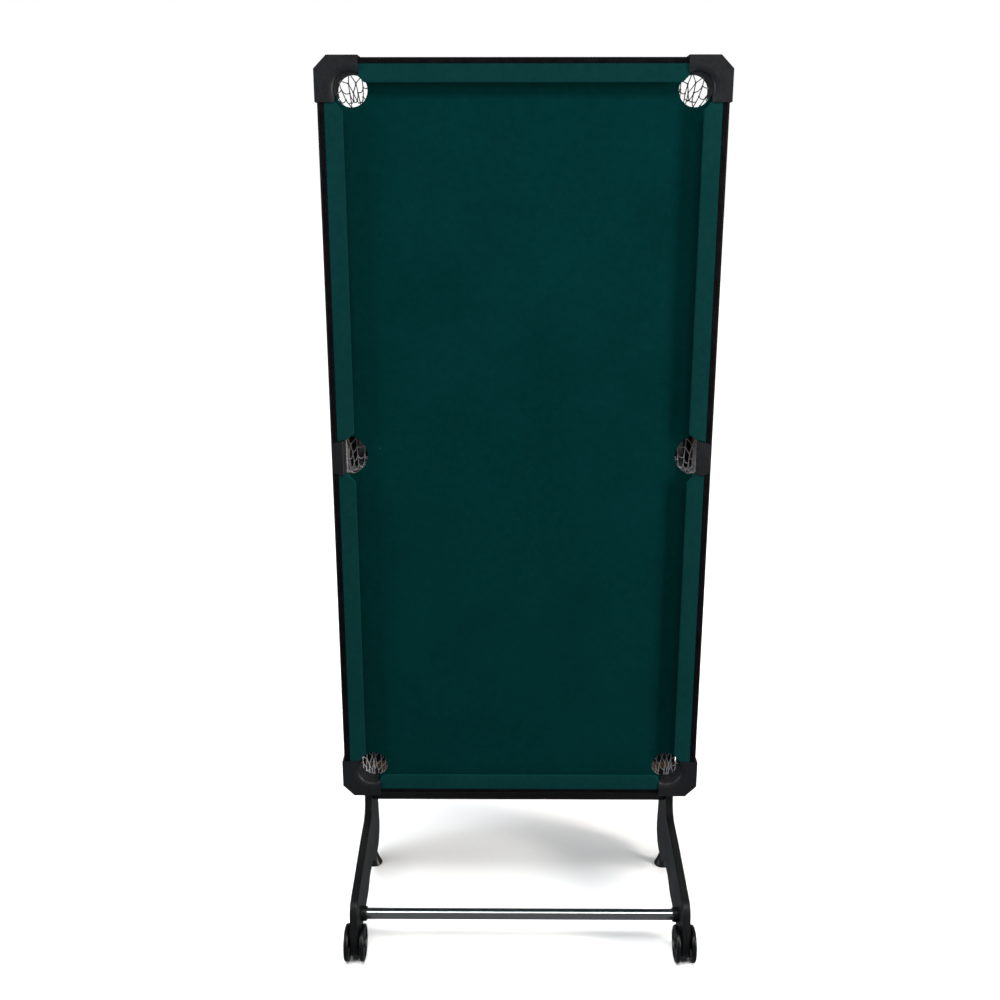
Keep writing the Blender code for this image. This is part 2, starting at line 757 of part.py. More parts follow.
def star_knob(name, side, pivot_z):
    """A five-lobed hand knob with its stud, which passes through the apron, the leg and the nut."""
    outline = []
    for k in range(30):
        angle = 2 * math.pi * k / 30
        radius = KNOB_RADIUS + KNOB_WAVE * math.cos(KNOB_LOBES * angle)
        outline.append((PIVOT_Y + radius * math.cos(angle), pivot_z + radius * math.sin(angle)))
    low, high = sorted((side * KNOB_FROM, side * KNOB_TO))
    knob = prism(name, outline, "X", low, high, "knob_plastic")
    bevelled(knob, 0.0025)
    ends = sorted((side * STUD_END, side * (KNOB_FROM + 0.006)))
    combine(knob, rod(f"{name}_stud", "X", (0, PIVOT_Y, pivot_z), STUD_RADIUS, *ends), "UNION")
    return knob


def hex_nut(name, side, pivot_z):
    """A six-sided nut set against the inner face of a leg."""
    outline = arc((PIVOT_Y, pivot_z), NUT_RADIUS, 0, math.radians(300), 5)
    low, high = sorted((side * NUT_FROM, side * NUT_TO))
    nut = prism(name, outline, "X", low, high, "zinc_steel")
    drill = rod(f"{name}_drill", "X", (0, PIVOT_Y, pivot_z), STUD_HOLE, low - 0.01, high + 0.01)
    combine(nut, drill, "DIFFERENCE")
    return nut


def make_table(tilt_axis):
    """Everything that turns with the playing surface."""
    made = make_bed() + make_cushions() + make_trims() + make_nets() + make_aprons()
    for side_name in SIDES:
        made.append(make_side_casting(side_name))
        for end_name in ENDS:
            made.append(make_corner_casting(side_name, end_name))
    for piece in made:
        hang(piece, tilt_axis)


def make_base():
    """The wheeled base: two boot-shaped legs, their cross pieces, wheels and levelling feet."""
    for side_name, side in SIDES.items():
        middle = side * (LEG_INNER + LEG_THICK / 2)
        name = f"base_leg_{side_name}"
        leg = leg_board(name, side, filleted(BASE_LEG_CORNERS), TILT_Z, BASE_FOOT_Y, 0.0)
        drill_ends = sorted((side * (LEG_INNER - 0.01), side * (LEG_OUTER + 0.01)))
        drill = rod(f"{name}_axle_hole", "X", (0, AXLE_Y, WHEEL_RADIUS), AXLE_HOLE, *drill_ends)
        combine(leg, drill, "DIFFERENCE")
        axle(f"wheel_axle_{side_name}", side)
        axle_spot = empty_at(f"axle_line_{side_name}", (middle, AXLE_Y, WHEEL_RADIUS))
        for where, out in (("inner", -1), ("outer", 1)):
            hang(wheel(f"wheel_{side_name}_{where}", middle + side * out * WHEEL_OFFSET), axle_spot)
        foot_spot = empty_at(f"base_foot_line_{side_name}", (middle, BASE_FOOT_Y, 0))
        hang(levelling_foot(f"base_foot_{side_name}", side, BASE_FOOT_Y, 0.0), foot_spot)
        ferrule(f"base_bar_ferrule_{side_name}", side, BASE_BAR_YZ)
        hex_nut(f"tilt_nut_{side_name}", side, TILT_Z)
    cross_bar("base_bar", BASE_BAR_YZ)
    panel_end = LEG_INNER - CLEARANCE
    low = (-panel_end, PANEL_Y[0], PANEL_Z[0])
    high = (panel_end, PANEL_Y[1], PANEL_Z[1])
    bevelled(box("base_beam", low, high, "leg_paint"), 0.003)


def make_folding_legs(tilt_axis):
    """The second pair of legs, folded flat behind the table."""
    fold_axis = empty_at("fold_axis", (0, PIVOT_Y, FOLD_Z), tilt_axis)
    fold_place = Vector((0, PIVOT_Y, FOLD_Z))
    outline = [(PIVOT_Y + out, FOLD_Z - down) for out, down in filleted(FOLD_LEG_CORNERS)]
    foot_y = PIVOT_Y + FOLD_FOOT_OUT
    floor_z = FOLD_Z - FOLD_LENGTH
    bar_place = (PIVOT_Y + FOLD_BAR_OUT_DOWN[0], FOLD_Z - FOLD_BAR_OUT_DOWN[1])
    made = [cross_bar("fold_bar", bar_place)]
    for side_name, side in SIDES.items():
        made.append(leg_board(f"fold_leg_{side_name}", side, outline, FOLD_Z, foot_y, floor_z))
        made.append(levelling_foot(f"fold_foot_{side_name}", side, foot_y, floor_z))
        made.append(ferrule(f"fold_bar_ferrule_{side_name}", side, bar_place))
        made.append(hex_nut(f"fold_nut_{side_name}", side, FOLD_Z))
    for piece in made:
        piece.data.transform(Matrix.Translation(-fold_place))
        piece.parent = fold_axis


def make_knobs(tilt_axis):
    """The four pivot knobs, each with its origin on its own stud."""
    for pivot, z in (("tilt", TILT_Z), ("fold", FOLD_Z)):
        for side_name, side in SIDES.items():
            knob = star_knob(f"{pivot}_knob_{side_name}", side, z)
            spot = Vector((side * KNOB_FROM, PIVOT_Y, z))
            knob.data.transform(Matrix.Translation(-spot))
            knob.parent = tilt_axis
            knob.location = spot - tilt_axis.location


def main():
    for old in list(bpy.data.objects):
        bpy.data.objects.remove(old, do_unlink=True)
    tilt_axis = empty_at("tilt_axis", (0, PIVOT_Y, TILT_Z))
    make_table(tilt_axis)
    make_base()
    make_folding_legs(tilt_axis)
    make_knobs(tilt_axis)


main()
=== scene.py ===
import math
import random

import bmesh
import bpy
import numpy as np
from mathutils import Matrix, Vector
from mathutils.geometry import tessellate_polygon


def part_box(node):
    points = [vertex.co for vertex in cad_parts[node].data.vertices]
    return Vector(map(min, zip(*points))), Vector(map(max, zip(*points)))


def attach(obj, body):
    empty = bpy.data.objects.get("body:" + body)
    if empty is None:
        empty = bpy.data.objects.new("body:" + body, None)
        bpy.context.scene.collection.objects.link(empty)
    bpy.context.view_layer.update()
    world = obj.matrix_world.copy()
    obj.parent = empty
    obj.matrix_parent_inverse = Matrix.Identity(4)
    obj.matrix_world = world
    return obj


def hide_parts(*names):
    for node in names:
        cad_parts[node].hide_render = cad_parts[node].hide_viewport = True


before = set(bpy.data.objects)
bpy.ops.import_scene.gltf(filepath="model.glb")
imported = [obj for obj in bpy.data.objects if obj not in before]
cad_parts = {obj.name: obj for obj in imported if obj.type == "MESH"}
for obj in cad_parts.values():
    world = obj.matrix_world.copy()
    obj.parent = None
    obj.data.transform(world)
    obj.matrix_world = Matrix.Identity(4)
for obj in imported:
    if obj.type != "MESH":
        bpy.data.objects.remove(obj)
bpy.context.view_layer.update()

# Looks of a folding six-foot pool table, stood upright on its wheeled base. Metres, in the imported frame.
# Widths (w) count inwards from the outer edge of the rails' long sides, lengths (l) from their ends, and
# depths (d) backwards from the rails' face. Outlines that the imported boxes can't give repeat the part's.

MM = 0.001
SIDES = {"left": -1, "right": 1}
ENDS = {"foot": -1, "head": 1}

TRIM_LOW, TRIM_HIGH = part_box("rail_trim_right")
BED_LOW, BED_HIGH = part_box("playfield_bed")
RAIL_X = TRIM_HIGH.x
FACE_Y = TRIM_LOW.y
MID_Z = (BED_LOW.z + BED_HIGH.z) / 2
RAIL_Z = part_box("rail_trim_head")[1].z - MID_Z


def spot(side, end, w, l, d):
    """The point at width w, length l and depth d from one corner of the rails."""
    return Vector((side * (RAIL_X - w), FACE_Y + d, MID_Z + end * (RAIL_Z - l)))


# ---------------------------------------------------------------- materials


class Finish:
    """A Principled material, and short ways to add nodes to it. Textures are in the piece's own metres."""

    def __init__(self, name, colour, roughness, metallic=0.0, specular=0.5, **sockets):
        self.material = bpy.data.materials.new(name)
        self.material.use_nodes = True
        self.tree = self.material.node_tree
        self.shader = self.tree.nodes["Principled BSDF"]
        self.set("Base Color", (*colour, 1.0))
        self.set("Roughness", roughness)
        self.set("Metallic", metallic)
        self.set("Specular IOR Level", specular)
        for socket, value in sockets.items():
            self.set(socket.replace("_", " "), value)
        self.place = self.node("ShaderNodeTexCoord").outputs["Object"]

    def set(self, socket, value):
        self.shader.inputs[socket].default_value = value

    def link(self, output, socket):
        self.tree.links.new(output, self.shader.inputs[socket])

    def node(self, kind, values=None, **settings):
        made = self.tree.nodes.new(kind)
        for key, value in settings.items():
            setattr(made, key, value)
        for key, value in (values or {}).items():
            if isinstance(value, bpy.types.NodeSocket):
                self.tree.links.new(value, made.inputs[key])
            else:
                made.inputs[key].default_value = value
        return made

    def stretched(self, scale):
        return self.node("ShaderNodeMapping", {"Vector": self.place, "Scale": scale}).outputs["Vector"]

    def noise(self, scale, detail=3.0, roughness=0.55, vector=None, distortion=0.0):
        values = {
            "Vector": vector or self.place,
            "Scale": scale,
            "Detail": detail,
            "Roughness": roughness,
            "Distortion": distortion,
        }
        return self.node("ShaderNodeTexNoise", values).outputs["Fac"]

    def cells(self, scale, vector=None, feature="F1"):
        values = {"Vector": vector or self.place, "Scale": scale}
        return self.node("ShaderNodeTexVoronoi", values, feature=feature)

    def between(self, value, low, high, to_low=0.0, to_high=1.0):
        """value, moved from low..high to to_low..to_high and held there."""
        values = {"Value": value, "From Min": low, "From Max": high, "To Min": to_low, "To Max": to_high}
        return self.node("ShaderNodeMapRange", values).outputs["Result"]

    def maths(self, operation, a, b=0.0):
        return self.node("ShaderNodeMath", {0: a, 1: b}, operation=operation).outputs["Value"]

    def sum(self, *terms):
        """The (value, weight) terms, multiplied and added up."""
        total = None
        for value, weight in terms:
            part = value if weight == 1 else self.maths("MULTIPLY", value, weight)
            total = part if total is None else self.maths("ADD", total, part)
        return total

    def mix(self, factor, a, b):
        """Colour a where factor is 0 and colour b where it is 1."""
        made = self.node("ShaderNodeMix", data_type="RGBA")
        for index, value in ((0, factor), (6, a), (7, b)):
            if isinstance(value, bpy.types.NodeSocket):
                self.tree.links.new(value, made.inputs[index])
            else:
                made.inputs[index].default_value = value if index == 0 else (*value, 1.0)
        return made.outputs[2]

    def axis(self, letter):
        parts = self.node("ShaderNodeSeparateXYZ", {"Vector": self.place})
        return parts.outputs[letter]

    def red(self, colour):
        """The red part of a cell's random colour, as a plain random number."""
        return self.node("ShaderNodeSeparateColor", {"Color": colour}).outputs["Red"]

    def bump(self, height, depth, strength=1.0):
        values = {"Height": height, "Distance": depth, "Strength": strength}
        self.link(self.node("ShaderNodeBump", values).outputs["Normal"], "Normal")


def felt(name, dark, light, lint):
    """Napped cloth: fine fibres, a slow change of shade, a soft sheen and a few specks of lint."""
    look = Finish(name, light, 0.95, specular=0.02, Sheen_Weight=0.12, Sheen_Roughness=0.45)
    look.set("Sheen Tint", (0.0, 0.75, 0.72, 1.0))
    slow = look.noise(5.0, 2.0)
    blotch = look.noise(60.0, 3.0)
    fibre = look.noise(1300.0, 4.0, 0.7)
    nap = look.noise(420.0, 3.0, 0.6, look.stretched((1.0, 1.0, 0.45)))
    shade = look.sum((slow, 0.25), (blotch, 0.2), (fibre, 0.35), (nap, 0.2))
    colour = look.mix(look.between(shade, 0.36, 0.64), dark, light)
    speck = look.cells(26.0)
    near = look.between(speck.outputs["Distance"], 0.016, 0.028, 1.0, 0.0)
    rare = look.between(look.red(speck.outputs["Color"]), 1.0 - lint, 1.001 - lint)
    colour = look.mix(look.maths("MULTIPLY", near, rare), colour, (0.10, 0.22, 0.21))
    look.link(colour, "Base Color")
    look.bump(look.sum((fibre, 1), (nap, 0.7)), 0.35 * MM, 0.6)
    return look.material


def vinyl(name):
    """Purplish black film with a leathery grain and slight scuffs."""
    look = Finish(name, (0.013, 0.010, 0.013), 0.5, specular=0.10)
    grain = look.cells(700.0, feature="SMOOTH_F1").outputs["Distance"]
    fine = look.noise(1600.0, 2.0)
    scuff = look.noise(35.0, 5.0, 0.7)
    colour = look.mix(look.between(scuff, 0.45, 0.75), (0.0022, 0.0021, 0.0028), (0.0060, 0.0056, 0.0072))
    look.link(colour, "Base Color")
    look.link(look.between(scuff, 0.35, 0.7, 0.42, 0.60), "Roughness")
    look.bump(look.sum((grain, 1), (fine, 0.3)), 0.12 * MM, 0.5)
    return look.material


def moulded(name, dark, light, roughness, grain=900.0, depth=0.10, shine=0.45):
    """Moulded plastic with a fine spark-eroded texture and faint handling marks."""
    look = Finish(name, light, roughness, specular=shine)
    texture = look.noise(grain, 3.0, 0.65)
    cloud = look.noise(14.0, 3.0)
    marks = look.noise(90.0, 5.0, 0.75, distortion=0.6)
    shade = look.sum((texture, 0.5), (cloud, 0.5))
    look.link(look.mix(look.between(shade, 0.38, 0.62), dark, light), "Base Color")
    look.link(look.between(marks, 0.35, 0.7, roughness - 0.07, roughness + 0.10), "Roughness")
    look.bump(texture, depth * MM, 0.5)
    return look.material


def board(name, film):
    """Raw fibreboard, with black film on its outward faces if film is set."""
    look = Finish(name, (0.27, 0.15, 0.06), 0.85, specular=0.2)
    fibre = look.noise(520.0, 4.0, 0.7, look.stretched((1.0, 1.6, 0.55)))
    chip = look.cells(260.0).outputs["Color"]
    cloud = look.noise(18.0, 3.0)
    shade = look.sum((fibre, 0.6), (cloud, 0.4))
    wood = look.mix(look.between(shade, 0.36, 0.66), (0.24, 0.135, 0.050), (0.60, 0.40, 0.185))
    flecks = look.between(look.red(chip), 0.80, 0.82, 0.0, 0.45)
    wood = look.mix(flecks, wood, (0.20, 0.115, 0.045))
    lift = look.sum((fibre, 1), (look.red(chip), 0.25))
    if film:
        out_x = look.between(look.maths("ABSOLUTE", look.axis("X")), film[0] - 0.3 * MM, film[0])
        far_z = look.maths("ABSOLUTE", look.maths("SUBTRACT", look.axis("Z"), MID_Z))
        out_z = look.between(far_z, film[1] - 0.3 * MM, film[1])
        cover = look.maths("MAXIMUM", out_x, out_z)
        wood = look.mix(cover, wood, (0.012, 0.010, 0.012))
        lift = look.maths("MULTIPLY", lift, look.between(cover, 0.0, 1.0, 1.0, 0.25))
        look.link(look.between(cover, 0.0, 1.0, 0.85, 0.42), "Roughness")
    look.link(wood, "Base Color")
    look.bump(lift, 0.25 * MM, 0.6)
    return look.material


def painted(name):
    """Satin graphite paint on board: slight orange peel, and a few pale specks of dust."""
    look = Finish(name, (0.030, 0.033, 0.037), 0.42, specular=0.3)
    peel = look.noise(260.0, 2.0, 0.4)
    cloud = look.noise(9.0, 4.0)
    dust = look.noise(700.0, 4.0, 0.8)
    colour = look.mix(look.between(cloud, 0.35, 0.65), (0.0095, 0.0100, 0.0105), (0.0150, 0.0157, 0.0162))
    colour = look.mix(look.between(dust, 0.66, 0.74, 0.0, 0.4), colour, (0.032, 0.033, 0.034))
    look.link(colour, "Base Color")
    look.link(look.between(cloud, 0.3, 0.7, 0.34, 0.50), "Roughness")
    look.bump(look.sum((peel, 1), (dust, 0.15)), 0.10 * MM, 0.35)
    return look.material


def polished(name, colour, roughness, streak):
    """Bright metal with faint lengthwise polishing lines and smudges."""
    look = Finish(name, colour, roughness, metallic=1.0)
    lines = look.noise(900.0, 2.0, 0.5, look.stretched(streak))
    smudge = look.noise(28.0, 4.0, 0.7)
    look.link(look.between(smudge, 0.4, 0.75, roughness, roughness + 0.14), "Roughness")
    dull = tuple(0.82 * c for c in colour)
    look.link(look.mix(look.between(smudge, 0.45, 0.8, 0.0, 0.7), colour, dull), "Base Color")
    look.bump(lines, 0.015 * MM, 0.25)
    return look.material


def twine(name):
    """Off-white knotted cord: twisted yarn with painted shade in its grooves, a little grey where it is
    handled.
    """
    look = Finish(name, (0.60, 0.60, 0.64), 0.8, specular=0.2, Sheen_Weight=0.3, Sheen_Roughness=0.5)
    yarn = look.node(
        "ShaderNodeTexWave",
        {"Vector": look.place, "Scale": 420.0, "Distortion": 6.0, "Detail": 3.0, "Detail Scale": 2.0},
        bands_direction="DIAGONAL",
    ).outputs["Fac"]
    grime = look.noise(120.0, 3.0)
    colour = look.mix(look.between(grime, 0.4, 0.7), (0.92, 0.92, 0.98), (0.62, 0.60, 0.64))
    # The yarn's twist grooves are darkened towards grey-black: painted shade.
    shade = look.mix(look.between(yarn, 0.0, 0.5, 0.55, 0.0), colour, (0.34, 0.33, 0.36))
    look.link(shade, "Base Color")
    look.bump(yarn, 0.25 * MM, 0.8)
    return look.material


LOOKS = {
    "baize": felt("playing_baize", (0.0003, 0.028, 0.0275), (0.0010, 0.045, 0.0445), 0.05),
    # The cushion cloth is the same baize, given lighter colours for the light its raised face catches:
    # painted light.
    "cushion_cloth": felt("cushion_felt_painted_lighter", (0.0020, 0.036, 0.035), (0.0070, 0.060, 0.058), 0.22),
    "rail_vinyl": vinyl("trim_vinyl"),
    "casting_plastic": moulded(
        "casting_charcoal", (0.0075, 0.0082, 0.0098), (0.0140, 0.0152, 0.0180), 0.46, shine=0.42
    ),
    "raw_board": board("fibreboard_raw", None),
    "apron_board": board("fibreboard_faced", (0.4467, 0.8992)),
    "net_cord": twine("net_twine"),
    "leg_paint": painted("leg_graphite"),
    "chrome": polished("bright_chrome", (0.62, 0.64, 0.63), 0.10, (0.02, 1.0, 1.0)),
    "wheel_plastic": moulded(
        "wheel_black", (0.0035, 0.004, 0.005), (0.007, 0.0075, 0.009), 0.30, 500.0, 0.05, 0.4
    ),
    "foot_plastic": moulded("foot_black", (0.007, 0.007, 0.008), (0.013, 0.013, 0.014), 0.38, 700.0, 0.08),
    "knob_plastic": moulded("knob_black", (0.011, 0.011, 0.012), (0.020, 0.020, 0.021), 0.48),
    "zinc_steel": polished("zinc_plate", (0.60, 0.61, 0.63), 0.24, (1.0, 0.3, 0.3)),
}


# ---------------------------------------------------------------- shapes


def filleted(corners, step=math.radians(7)):
    """A closed outline through corners (u, v, radius), each rounded by an arc of its radius."""
    outline = []
    count = len(corners)
    for i, (u, v, radius) in enumerate(corners):
        here = Vector((u, v))
        if radius == 0:
            outline.append(tuple(here))
            continue
        before = (Vector(corners[i - 1][:2]) - here).normalized()
        after = (Vector(corners[(i + 1) % count][:2]) - here).normalized()
        half = before.angle(after) / 2
        middle = here + (before + after).normalized() * (radius / math.sin(half))
        start = here + before * (radius / math.tan(half)) - middle
        turn = start.angle_signed(here + after * (radius / math.tan(half)) - middle)
        pieces = max(2, math.ceil(abs(turn) / step))
        for k in range(pieces + 1):
            outline.append(tuple(middle + Matrix.Rotation(-turn * k / pieces, 2) @ start))
    return outline


def arc(centre, radius, start, end, pieces):
    """Points on an arc, both ends included."""
    angles = [start + (end - start) * k / pieces for k in range(pieces + 1)]
    return [(centre[0] + radius * math.cos(a), centre[1] + radius * math.sin(a)) for a in angles]


def area_of(outline):
    pairs = zip(outline, outline[1:] + outline[:1])
    return sum(a[0] * b[1] - b[0] * a[1] for a, b in pairs) / 2


def inset(outline, amount):
    """A closed outline moved inwards by amount at every corner."""
    turn = math.copysign(1.0, area_of(outline))
    moved = []
    count = len(outline)
    for i in range(count):
        here = Vector(outline[i])
        before = (here - Vector(outline[i - 1])).normalized()
        after = (Vector(outline[(i + 1) % count]) - here).normalized()
        normals = [Vector((-e.y, e.x)) * turn for e in (before, after)]
        middle = (normals[0] + normals[1]).normalized()
        moved.append(tuple(here + middle * (amount / max(0.5, middle.dot(normals[0])))))
    return moved


def add(name, data):
    """A new object in the scene."""
    made = bpy.data.objects.new(name, data)
    bpy.context.scene.collection.objects.link(made)
    return made


def mesh_object(name, points, faces):
    """A mesh object with its faces turned outwards."""
    mesh = bpy.data.meshes.new(name)
    mesh.from_pydata([tuple(p) for p in points], [], faces)
    shape = bmesh.new()
    shape.from_mesh(mesh)
    bmesh.ops.remove_doubles(shape, verts=shape.verts, dist=1e-7)
    bmesh.ops.recalc_face_normals(shape, faces=shape.faces)
    shape.to_mesh(mesh)
    shape.free()
    return add(name, mesh)


def rings_to_faces(rows, count, closed_ends=True):
    """Quads between successive closed rings of count points, and a face over each end."""
    faces = []
    for row in range(rows - 1):
        for k in range(count):
            j = (k + 1) % count
            faces.append([row * count + k, row * count + j, (row + 1) * count + j, (row + 1) * count + k])
    if closed_ends:
        faces.append(list(range(count)))
        faces.append(list(range((rows - 1) * count, rows * count)))
    return faces


def in_mm(profile, side=1):
    """A (along, radius) profile in millimetres, in metres and facing the given side."""
    return [(side * along * MM, radius * MM) for along, radius in profile]


def box_of(name):
    """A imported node's lowest and highest corners, and its middle."""
    low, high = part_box(name)
    return low, high, ((low.x + high.x) / 2, (low.y + high.y) / 2, (low.z + high.z) / 2)


def on_axis(axis, along, u, v):
    """The point at along on the axis and (u, v) on the other two, in their order."""
    point = [u, v]
    point.insert("XYZ".index(axis), along)
    return Vector(point)


def rounded_prism(name, outline, axis, low, high, rim, steps=4):
    """An outline pushed along an axis, with its rims rounded."""
    points = []
    stations = []
    for k in range(steps + 1):
        angle = math.pi / 2 * k / steps
        stations.append((low + rim * (1 - math.sin(angle)), rim * (1 - math.cos(angle))))
    stations.reverse()
    stations += [(low + high - along, amount) for along, amount in reversed(stations)]
    for along, amount in stations:
        ring = inset(outline, amount) if amount > 1e-9 else outline
        points += [on_axis(axis, along, u, v) for u, v in ring]
    return mesh_object(name, points, rings_to_faces(len(stations), len(outline)))


def lathe(name, profile, axis, centre, steps=64):
    """A closed profile of (along, radius) turned about an axis through centre."""
    middle = "XYZ".index(axis)
    others = [i for i in range(3) if i != middle]
    points = []
    for k in range(steps):
        angle = 2 * math.pi * k / steps
        for along, radius in profile:
            u = centre[others[0]] + radius * math.cos(angle)
            v = centre[others[1]] + radius * math.sin(angle)
            points.append(on_axis(axis, centre[middle] + along, u, v))
    count = len(profile)
    faces = []
    for k in range(steps):
        j = (k + 1) % steps
        for i in range(count):
            n = (i + 1) % count
            if profile[i][1] == 0 and profile[n][1] == 0:
                continue
            faces.append([k * count + i, k * count + n, j * count + n, j * count + i])
    return mesh_object(name, points, faces)


def carve(obj, tool, operation="DIFFERENCE"):
    """Applies a Boolean with tool to obj, and removes tool."""
    change = obj.modifiers.new("cut", "BOOLEAN")
    change.object = tool
    change.operation = operation
    change.solver = "EXACT"
    bpy.context.view_layer.update()
    result = bpy.data.meshes.new_from_object(obj.evaluated_get(bpy.context.evaluated_depsgraph_get()))
    obj.modifiers.remove(change)
    obj.data = result
    bpy.data.objects.remove(tool)
    return obj


def joined(name, *parts):
    """One object made of several closed shapes."""
    shape = bmesh.new()
    for part in parts:
        shape.from_mesh(part.data)
    mesh = bpy.data.meshes.new(name)
    shape.to_mesh(mesh)
    shape.free()
    for part in parts:
        bpy.data.objects.remove(part)
    return add(name, mesh)


def finished(obj, look, body, replaced=(), angle=35, bevel=0.0):
    """Shades a piece, gives it its material, ties it to its body, and hides the CAD nodes it stands for."""
    obj.data.materials.clear()
    obj.data.materials.append(LOOKS[look])
    obj.data.shade_smooth()
    obj.data.set_sharp_from_angle(angle=math.radians(angle))
    if bevel:
        soften(obj, bevel)
    weighted = obj.modifiers.new("even_shading", "WEIGHTED_NORMAL")
    weighted.keep_sharp = True
    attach(obj, body)
    if replaced:
        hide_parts(*([replaced] if isinstance(replaced, str) else replaced))
    return obj


def soften(obj, width, segments=2):
    """Small rounded edges."""
    change = obj.modifiers.new("softened_edges", "BEVEL")
    change.width = width
    change.segments = segments
    change.limit_method = "ANGLE"
    change.angle_limit = math.radians(40)
    change.harden_normals = False


# ---------------------------------------------------------------- playing cloth and cushions

CLOTH_D = 30.0 * MM
CUSHION_END = 94.0 * MM
CUSHION_KINK = 40.0
SIDE_CUSHION_END = 40.9 * MM
SIDE_MOUTH_IN = 30.5 * MM
CORNER_W, CORNER_L = 74.0 * MM, 67.0 * MM
SIDE_W = 35.0 * MM
HOLE_R = 37.15 * MM
NOTCH_R = 49.7 * MM
ROLL = [(1.5, 0.0), (1.0, 0.07), (0.5, 0.32), (0.15, 0.80), (0.0, 1.5), (0.0, 14.0)]


def make_cloth():
    """The stretched cloth: flat, and rolled over the edge of each pocket's cut-out."""
    half_x = BED_HIGH.x
    half_z = BED_HIGH.z - MID_Z
    start = math.acos((half_x - (RAIL_X - SIDE_W)) / NOTCH_R)
    loops = []
    notches = {}
    outer = []
    for side in (1, -1):
        centre = (side * (RAIL_X - SIDE_W), MID_Z)
        turn = 0.0 if side > 0 else math.pi
        angles = [turn - start - (2 * math.pi - 2 * start) * k / 60 for k in range(61)]
        outer.append((side * half_x, MID_Z - side * half_z))
        first = len(outer)
        far = NOTCH_R + ROLL[0][0] * MM
        outer += [(centre[0] + far * math.cos(a), centre[1] + far * math.sin(a)) for a in angles]
        notches[side] = (centre, angles, first)
        outer.append((side * half_x, MID_Z + side * half_z))
    loops.append(outer)
    holes = []
    for side in SIDES.values():
        for end in ENDS.values():
            x, _, z = spot(side, end, CORNER_W, CORNER_L, 0)
            angles = [2 * math.pi * k / 72 for k in range(72)]
            radius = HOLE_R + ROLL[0][0] * MM
            loops.append([(x + radius * math.cos(a), z + radius * math.sin(a)) for a in angles])
            holes.append(((x, z), angles))
    flat = [p for loop in loops for p in loop]
    points = [Vector((x, FACE_Y + CLOTH_D, z)) for x, z in flat]
    faces = [list(t) for t in tessellate_polygon([[Vector((x, z, 0)) for x, z in loop] for loop in loops])]

    def roll(centre, angles, first, radius, closed):
        rows = [list(range(first, first + len(angles)))]
        for out, down in ROLL[1:]:
            row = []
            for a in angles:
                row.append(len(points))
                far = radius + out * MM
                x, z = centre[0] + far * math.cos(a), centre[1] + far * math.sin(a)
                points.append(Vector((x, FACE_Y + CLOTH_D + down * MM, z)))
            rows.append(row)
        for a, b in zip(rows, rows[1:]):
            for k in range(len(a) if closed else len(a) - 1):
                j = (k + 1) % len(a)
                faces.append([a[k], a[j], b[j], b[k]])

    for centre, angles, first in notches.values():
        roll(centre, angles, first, NOTCH_R, False)
    first = len(outer)
    for centre, angles in holes:
        roll(centre, angles, first, HOLE_R, True)
        first += len(angles)
    mesh = bpy.data.meshes.new("playing_cloth")
    mesh.from_pydata(points, [], faces)
    shape = bmesh.new()
    shape.from_mesh(mesh)
    bmesh.ops.recalc_face_normals(shape, faces=shape.faces)
    facing = sum(f.normal.y * f.calc_area() for f in shape.faces)
    if facing > 0:
        bmesh.ops.reverse_faces(shape, faces=shape.faces)
    shape.to_mesh(mesh)
    shape.free()
    cloth = add("playing_cloth", mesh)
    thick = cloth.modifiers.new("cloth_thickness", "SOLIDIFY")
    thick.thickness = 0.5 * MM
    thick.offset = -1.0
    finished(cloth, "baize", "table", "bed_cloth")


END_ROUND, END_STEPS, LENGTH_STEPS = 1.6 * MM, 5, 24


def cushion_section(outer, nose):
    """The cushion's section from its outer edge to its nose, both in millimetres."""
    corners = [
        (outer, 29.7, 0.0),
        (outer, 0.7, 1.6),
        (CUSHION_KINK, 1.2, 0.0),
        (nose + 0.1, 2.6, 2.2),
        (nose - 0.1, 8.4, 2.4),
        (CUSHION_KINK, 23.5, 0.0),
        (34.0, 29.7, 0.0),
    ]
    return [(u * MM, v * MM) for u, v in filleted(corners, math.radians(18))]


def make_cushion(name, section, start, end, place):
    """A cloth-covered rubber cushion: its section swept between two mitred ends with rounded rims."""
    split = [i for i, p in enumerate(section) if abs(p[0] - CUSHION_KINK * MM) < 1e-6]
    count = len(section)
    stations = []
    for k in range(END_STEPS + 1):
        angle = math.pi / 2 * k / END_STEPS
        stations.append((END_ROUND * (1 - math.cos(angle)), END_ROUND * (1 - math.sin(angle))))
    points = []
    rows = 0

    def ring(near, amount, share):
        shape = inset(section, amount) if amount > 1e-9 else section
        for w, d in shape:
            a, b = start(w), end(w)
            sign = math.copysign(1.0, b - a)
            low, high = a + sign * near, b - sign * near
            points.append(place(w, low + (high - low) * share, d))

    for near, amount in stations:
        ring(near, amount, 0.0)
        rows += 1
    for k in range(1, LENGTH_STEPS):
        ring(END_ROUND, 0.0, k / LENGTH_STEPS)
        rows += 1
    for near, amount in reversed(stations):
        ring(near, amount, 1.0)
        rows += 1
    faces = rings_to_faces(rows, count, closed_ends=False)
    nose = list(range(split[0], split[1] + 1))
    root = list(range(split[1], count)) + list(range(split[0] + 1))
    for first in (0, (rows - 1) * count):
        faces.append([first + i for i in nose])
        faces.append([first + i for i in root])
    made = finished(mesh_object(f"{name}_felt", points, faces), "cushion_cloth", "table", name, angle=50)


def corner_jaw(slope):
    return lambda w: CUSHION_END + max(0.0, w - CUSHION_KINK * MM) * slope


def side_jaw(w):
    return SIDE_CUSHION_END + max(0.0, w - SIDE_MOUTH_IN) * 0.72


